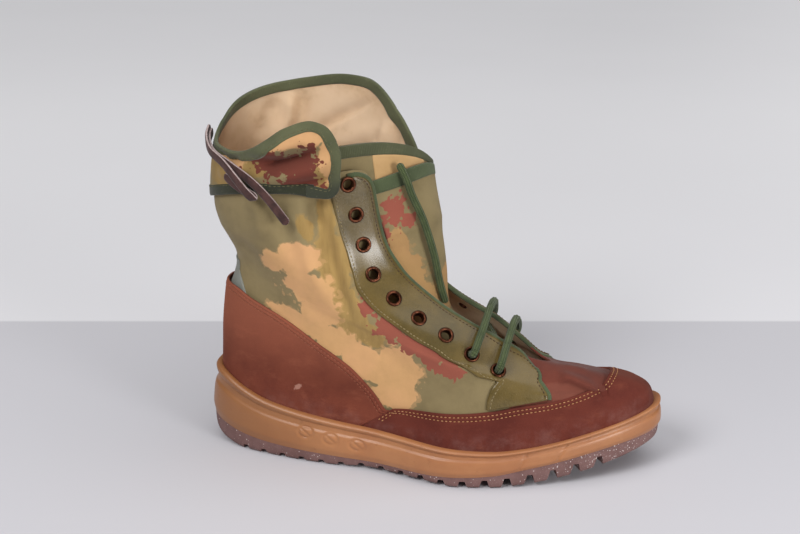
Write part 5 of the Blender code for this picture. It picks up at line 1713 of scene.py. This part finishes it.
def cuff_binding(tape):
    """Tape over the cuff's bound edge, and the line of its stitches."""
    turn, share = cuff_border()
    edge, outward, by_turn, by_share = cuff_face(turn, share)
    inward = unit(np.cross(np.gradient(edge, axis=0), outward))
    inward *= np.sign((inward * by_share).sum(axis=-1)[TOP_POINT] * -1)
    tt, ss, ts, ti, si = ((a * b).sum(axis=-1) for a, b in (
        (by_turn, by_turn), (by_share, by_share), (by_turn, by_share), (by_turn, inward), (by_share, inward)))
    gauge = tt * ss - ts * ts
    go_turn, go_share = softened((ti * ss - si * ts) / gauge), softened((si * tt - ti * ts) / gauge)
    step = np.linspace(-0.08, 1, 11)[:, None]
    reach = np.maximum(step, 0) * BINDING_WIDE
    at, up, _, _ = cuff_face(np.clip(turn + go_turn * reach, NEAR_TURN, FAR_TURN),
                             np.clip(share + go_share * reach, 0, 1))
    at = at + inward * (np.minimum(step, 0) * BINDING_WIDE)[..., None]
    swell = np.broadcast_to(0.75 * eased_edge((step + 0.08) / 1.08, 0.25), reach.shape)[..., None]
    face = at + up * (CUFF_THICKNESS + swell)
    return add_slab("cuff_binding", face, at - up * swell, [tape] * 3), face[8, 4:-4]


def cuff_seam_tape(tape):
    """Tape over the cuff's seam, and the line of its stitches."""
    columns = columns_of(CUFF_COLUMNS, CUFF)
    turns = np.linspace(cuff_ends(0)[0] + 0.03, FAR_TURN, 240)
    share, turn = grid_of(np.linspace(0, 1, 9), turns)
    tall = np.interp(turn, columns["turn"], columns["top_z"] - columns["seam_z"])
    at, up, _, _ = cuff_face(turn, share * SEAM_TAPE_WIDE / tall)
    face = at + up * (CUFF_THICKNESS + 0.6 * eased_edge(share, 0.2))[..., None]
    return add_slab("cuff_seam_tape", face, at - up * 0.15, [tape] * 3), face[7, 4:-4]


def make_cuff(canvas, lining, tape, shaded_seam_tape, seam_thread):
    share, spread = grid_of(np.linspace(0, 1, 53), np.linspace(0, 1, 281))
    near, far = cuff_ends(share)
    turn = near + (far - near) * spread
    points, normals, _, _ = cuff_face(turn, share)
    outer = points + normals * CUFF_THICKNESS
    cuff = add_slab("cuff_canvas", outer, points, [canvas, lining, canvas], ["cuff"])
    trim, rows = zip(cuff_binding(tape), cuff_seam_tape(shaded_seam_tape))
    stitches("cuff_stitching", rows, seam_thread, *CUFF_STITCH, "canvas")
    smooth = cuff_point(turn, share)


LACE_RIBS, RIB_DEPTH = 9, 0.42
# A lace bar along its eyelets' axes: how deep its ends sit, where it comes out and where it bends over.
# Then its places over the near throat edge, the middle and the far throat edge
BAR_SUNK, BAR_OUT, BAR_BEND = 7.0, 0.6, 5.0
BAR_OVER_NEAR, BAR_CREST, BAR_OVER_FAR = (0, -2, 6.5), (1, 0, 13.0), (0, 3, 9.0)
# The crossing under the bars: how deep its ends sit, then its quarters' and its middle's place
CROSSING_SUNK, CROSSING_SAG, CROSSING_CREST = 6.0, (0, 0, -3.0), (0, 0, 1.5)


def plaited_cord(name, path, finish, nodes):
    path = dome_ends(path, LACE_RADIUS)
    along, out = carried(path, (0.1, 0.3, 1.0))
    section = ribbed_circle(LACE_RADIUS, LACE_RIBS, RIB_DEPTH)
    mesh = swept_mesh(name, path, np.cross(along, out), out, section, [finish], round_tips(len(path)))
    return add_piece(name, mesh, nodes), path


def make_lace(finish):
    across, along, standoff = np.array(LACE_END_ROUTE).T
    route = off_tongue(across, along, TONGUE_THICKNESS / 2 + GAP + LACE_RADIUS + standoff)
    piece, path = plaited_cord("lace_end_cord", smooth_route(route, 70), finish, ["lace_end"])
    at = to_metres(path)
    ends = {}
    for side in (LATERAL, MEDIAL):
        places, normals, seats = (values[-2:] for values in eyelet_seats(side))
        ends[side] = places + normals * (seats + EYELET_HEIGHT)[:, None], normals
    for k, name in enumerate(("lace_bar_upper", "lace_bar_lower")):
        (near, near_up), (far, far_up) = ((ends[side][0][k], ends[side][1][k]) for side in (LATERAL, MEDIAL))
        near_edge, far_edge = (throat_edge(near[0] + 4, side) for side in (LATERAL, MEDIAL))
        middle = (near_edge + far_edge) / 2
        route = [near - near_up * BAR_SUNK, near + near_up * BAR_OUT, near + near_up * BAR_BEND,
                 near_edge + BAR_OVER_NEAR, middle + BAR_CREST, far_edge + BAR_OVER_FAR,
                 far + far_up * BAR_BEND, far + far_up * BAR_OUT, far - far_up * BAR_SUNK]
        plaited_cord(name + "_cord", smooth_route(route, 70), finish, [name])
    near, near_up = ends[LATERAL][0][1], ends[LATERAL][1][1]
    far, far_up = ends[MEDIAL][0][0], ends[MEDIAL][1][0]
    route = [near - near_up * CROSSING_SUNK, near * 0.75 + far * 0.25 + CROSSING_SAG,
             (near + far) / 2 + CROSSING_CREST, near * 0.25 + far * 0.75 + CROSSING_SAG,
             far - far_up * CROSSING_SUNK]
    plaited_cord("lace_crossing", smooth_route(route, 50), finish, [])


def make_thongs(face, edge):
    for name, stations, count in (("thong_long", THONG_LONG, 90), ("thong_short", THONG_SHORT, 150)):
        middle, across = thong_line(stations, count)
        out = np.cross(across, unit(np.gradient(middle, axis=0)))
        if (out[0] * from_shaft(middle[0])).sum() < 0:
            out = -out
        share = np.linspace(-1, 1, 9)
        length = run_along(middle)
        tip = np.clip(np.minimum(length, length[-1] - length) / (THONG_WIDTH / 2), 0, 1)
        wide = THONG_WIDTH / 2 * (0.35 + 0.65 * np.sqrt(1 - (1 - tip) ** 2))
        base = middle[:, None] + across[:, None] * (share[None, :, None] * wide[:, None, None])
        crown = THONG_THICKNESS * (1 - 0.25 * np.abs(share) ** 6)
        outer = base + out[:, None] * crown[None, :, None]
        piece = add_slab(name + "_suede", outer, base, [face, face, edge], [name])
        at = to_metres(middle + out * THONG_THICKNESS / 2)


# Lights: place, aim, disc's width in metres or the sky's angle in radians, power
LIGHTS = (
    ("key_softbox", (-0.60, -1.10, 1.20), (0.0, 0.0, 0.10), 0.8, 15.5),
    ("right_softbox", (1.06, -0.77, 0.34), (0.0, 0.0, 0.14), 0.46, 9.5),
    ("overcast_sky", (0.30, -0.15, 1.45), (0.0, 0.05, 0.0), 1.1, 1.45),
)
ROOM_COLOUR, ROOM_STRENGTH = (0.93, 0.95, 1.0, 1), 0.15
# Camera at the photograph's angle: direction back to it, distance in metres, lens and film width in
# millimetres, and the framing's shift in pixels of an image this wide
CAMERA_BACK, CAMERA_AWAY, LENS, FILM_WIDTH = (0.2027, -0.9145, 0.3502), 0.867, 60.0, 36.0
SHIFT_RIGHT, SHIFT_UP, IMAGE_WIDTH = -30.2, 41.8, 800
# Floor in metres: its corners to the right of the boot and ahead, and how far it lies under the sole
FLOOR_CORNERS, FLOOR_DROP = ((-5, -4), (5, -4), (5, 6), (-5, 6)), 0.0003


def aimed_object(name, data, place, facing):
    obj = scene_object(name, data)
    obj.location = place
    obj.rotation_mode = "QUATERNION"
    obj.rotation_quaternion = facing
    return obj


def make_floor(ground, target):
    ahead = Vector((*VIEW_AHEAD, 0))
    right = Vector((ahead.y, -ahead.x, 0))
    middle = Vector((target.x, target.y, -FLOOR_DROP))
    mesh = bpy.data.meshes.new("pale_floor")
    mesh.from_pydata([middle + right * x + ahead * y for x, y in FLOOR_CORNERS], [], [(0, 1, 2, 3)])
    mesh.materials.append(ground)
    scene_object("pale_floor", mesh)


def make_lights():
    for name, place, aim, wide, power in LIGHTS:
        lamp = bpy.data.lights.new(name, "SUN" if name == "overcast_sky" else "AREA")
        if lamp.type == "SUN":
            lamp.angle = wide
        else:
            lamp.shape, lamp.size = "DISK", wide
        lamp.energy = power
        aimed_object(name, lamp, place, (Vector(aim) - Vector(place)).to_track_quat("-Z", "Y"))
    world = bpy.data.worlds.new("room")
    world.use_nodes = True
    room = world.node_tree.nodes["Background"].inputs
    room["Color"].default_value, room["Strength"].default_value = ROOM_COLOUR, ROOM_STRENGTH
    bpy.context.scene.world = world
    bpy.context.scene.view_settings.view_transform = "Standard"


def make_camera(target):
    lens = bpy.data.cameras.new("photo_camera")
    lens.lens, lens.sensor_width = LENS, FILM_WIDTH
    lens.shift_x, lens.shift_y = SHIFT_RIGHT / IMAGE_WIDTH, SHIFT_UP / IMAGE_WIDTH
    back = Vector(CAMERA_BACK).normalized()
    bpy.context.scene.camera = aimed_object("photo_camera", lens, target + back * CAMERA_AWAY,
                                            back.to_track_quat("Z", "Y"))


def make_studio(ground):
    """Pale floor, soft lights and the camera."""
    target = Vector((0, SHIFT[1], 100)) * MM
    make_floor(ground, target)
    make_lights()
    make_camera(target)


# Camouflage spots seen from the outer side: x, z, half length, half height, turn in degrees
SHAFT_KHAKI = ((-58, 166, 6, 17, 4), (-53, 140, 10, 22, 14), (-43, 107, 12, 21, 25), (-30, 94, 11, 9, -30),
               (-70, 162, 4, 9, 20))
SHAFT_OCHRE = ((-76, 141, 13, 12, 0), (-93, 138, 9, 8, 0), (-71, 122, 18, 13, -10), (-64, 107, 14, 14, 0),
               (-82, 97, 20, 7, -20), (-56, 87, 22, 10, -32), (-35, 74, 24, 12, -38), (-13, 70, 15, 20, 0),
               (-17, 53, 15, 10, 0))
SHAFT_BRICK = ((-31, 115, 7, 10, 20), (-19, 99, 12, 8, -38), (-4, 91, 16, 7, -36), (9, 82, 16, 7, -30),
               (19, 76, 11, 6, -25))
TONGUE_OCHRE = ((-19, 144, 6, 13, 12), (-11, 124, 8, 18, 16), (-4, 106, 9, 14, 12), (8, 112, 4, 18, 0))
TONGUE_BRICK = ((-22, 167, 9, 10, -10), (-28, 155, 6, 10, 0), (-14, 160, 5, 6, 0))
CUFF_KHAKI = ((-125, 197, 14, 14, 0), (-56, 196, 8, 16, 0), (-104, 198, 12, 5, 0))
CUFF_OCHRE = ((-72, 221, 24, 8, 6), (-54, 207, 6, 14, 0), (-116, 204, 9, 6, 0), (-92, 215, 12, 5, 10))
CUFF_BRICK = ((-82, 202, 20, 8, 4), (-93, 207, 14, 5, 0), (-67, 202, 9, 13, 0), (-74, 192, 16, 7, 0))


def main():
    # The binding's third colour and the seam tape are the same tape darkened as painted shade
    tape = green_tape("green_binding_tape", *tones("5b5d41 4a4d34 35382a"))
    throat_tape = green_tape("green_throat_tape", *tones("505a3c 404a30"))
    shaded_seam_tape = green_tape("green_seam_tape_painted_shade", *tones("2f3221 252819"))
    lining = lining_cloth("beige_lining", *tones("dcbf9f cbaa86"))
    canvas = camouflage("shaft_camouflage", SHAFT_KHAKI, SHAFT_OCHRE, SHAFT_BRICK, window=True)
    olive_thread = thread("olive_thread", *tones("6a6444 4c4a30"))
    make_studio(pale_floor())
    make_lace(lace_braid(ribbed_circle(LACE_RADIUS, LACE_RIBS, RIB_DEPTH)))
    make_thongs(thong_suede(), thong_cut_edge())
    make_sole_pieces(tan_rubber(), speckled_rubber(), lining)
    make_upper(canvas, lining)
    # Rand and counter are one suede: the rand's copy is darker as painted shade, the counter's lighter as
    # painted light
    rand = suede_finish("rand_suede_painted_shade", *tones("622e24 764030 52241d"))
    counter = suede_finish("red_brown_suede", *tones("713a2b 925540 602f24"), (0.050, 0.105))
    suede_edge = suede_finish("suede_cut_edge", *tones("7c483a 935f4e 6b3b2f"))
    make_suede(rand, counter, suede_edge, thread("pale_thread", *tones("bb8a60 96693f")),
               thread("rust_thread", *tones("9a5d45 7a4734")))
    # The strap's grey is a painted highlight
    make_back_strap(lining_cloth("grey_strap_cloth_painted_highlight", *tones("8b8d86 72746c")))
    make_eyestays(eyestay_leather(), throat_tape, thread("brown_thread", *tones("4f3a24 372717")),
                  thread("buff_thread", *tones("8f7f5a 6c5d3e")))
    make_eyelets(copper_finish())
    tongue_canvas = camouflage("tongue_camouflage", (), TONGUE_OCHRE, TONGUE_BRICK, inner_side=False,
                               shade=1.02, ochre_ink=colour("9f7a50"))
    bare_cloth = lining_cloth("bare_tan_cloth", *tones("c49f70 b08c5c"))
    make_tongue(tongue_canvas, bare_cloth, lining, tape, throat_tape)
    # The cuff's camouflage is darkened by its shade and its darker brick ink: painted shade
    cuff_canvas = camouflage("cuff_camouflage_painted_shade", CUFF_KHAKI, CUFF_OCHRE, CUFF_BRICK, shade=0.84,
                             brick_ink=CUFF_SHADED_BRICK_INK)
    make_cuff(cuff_canvas, lining, tape, shaded_seam_tape, olive_thread)


main()
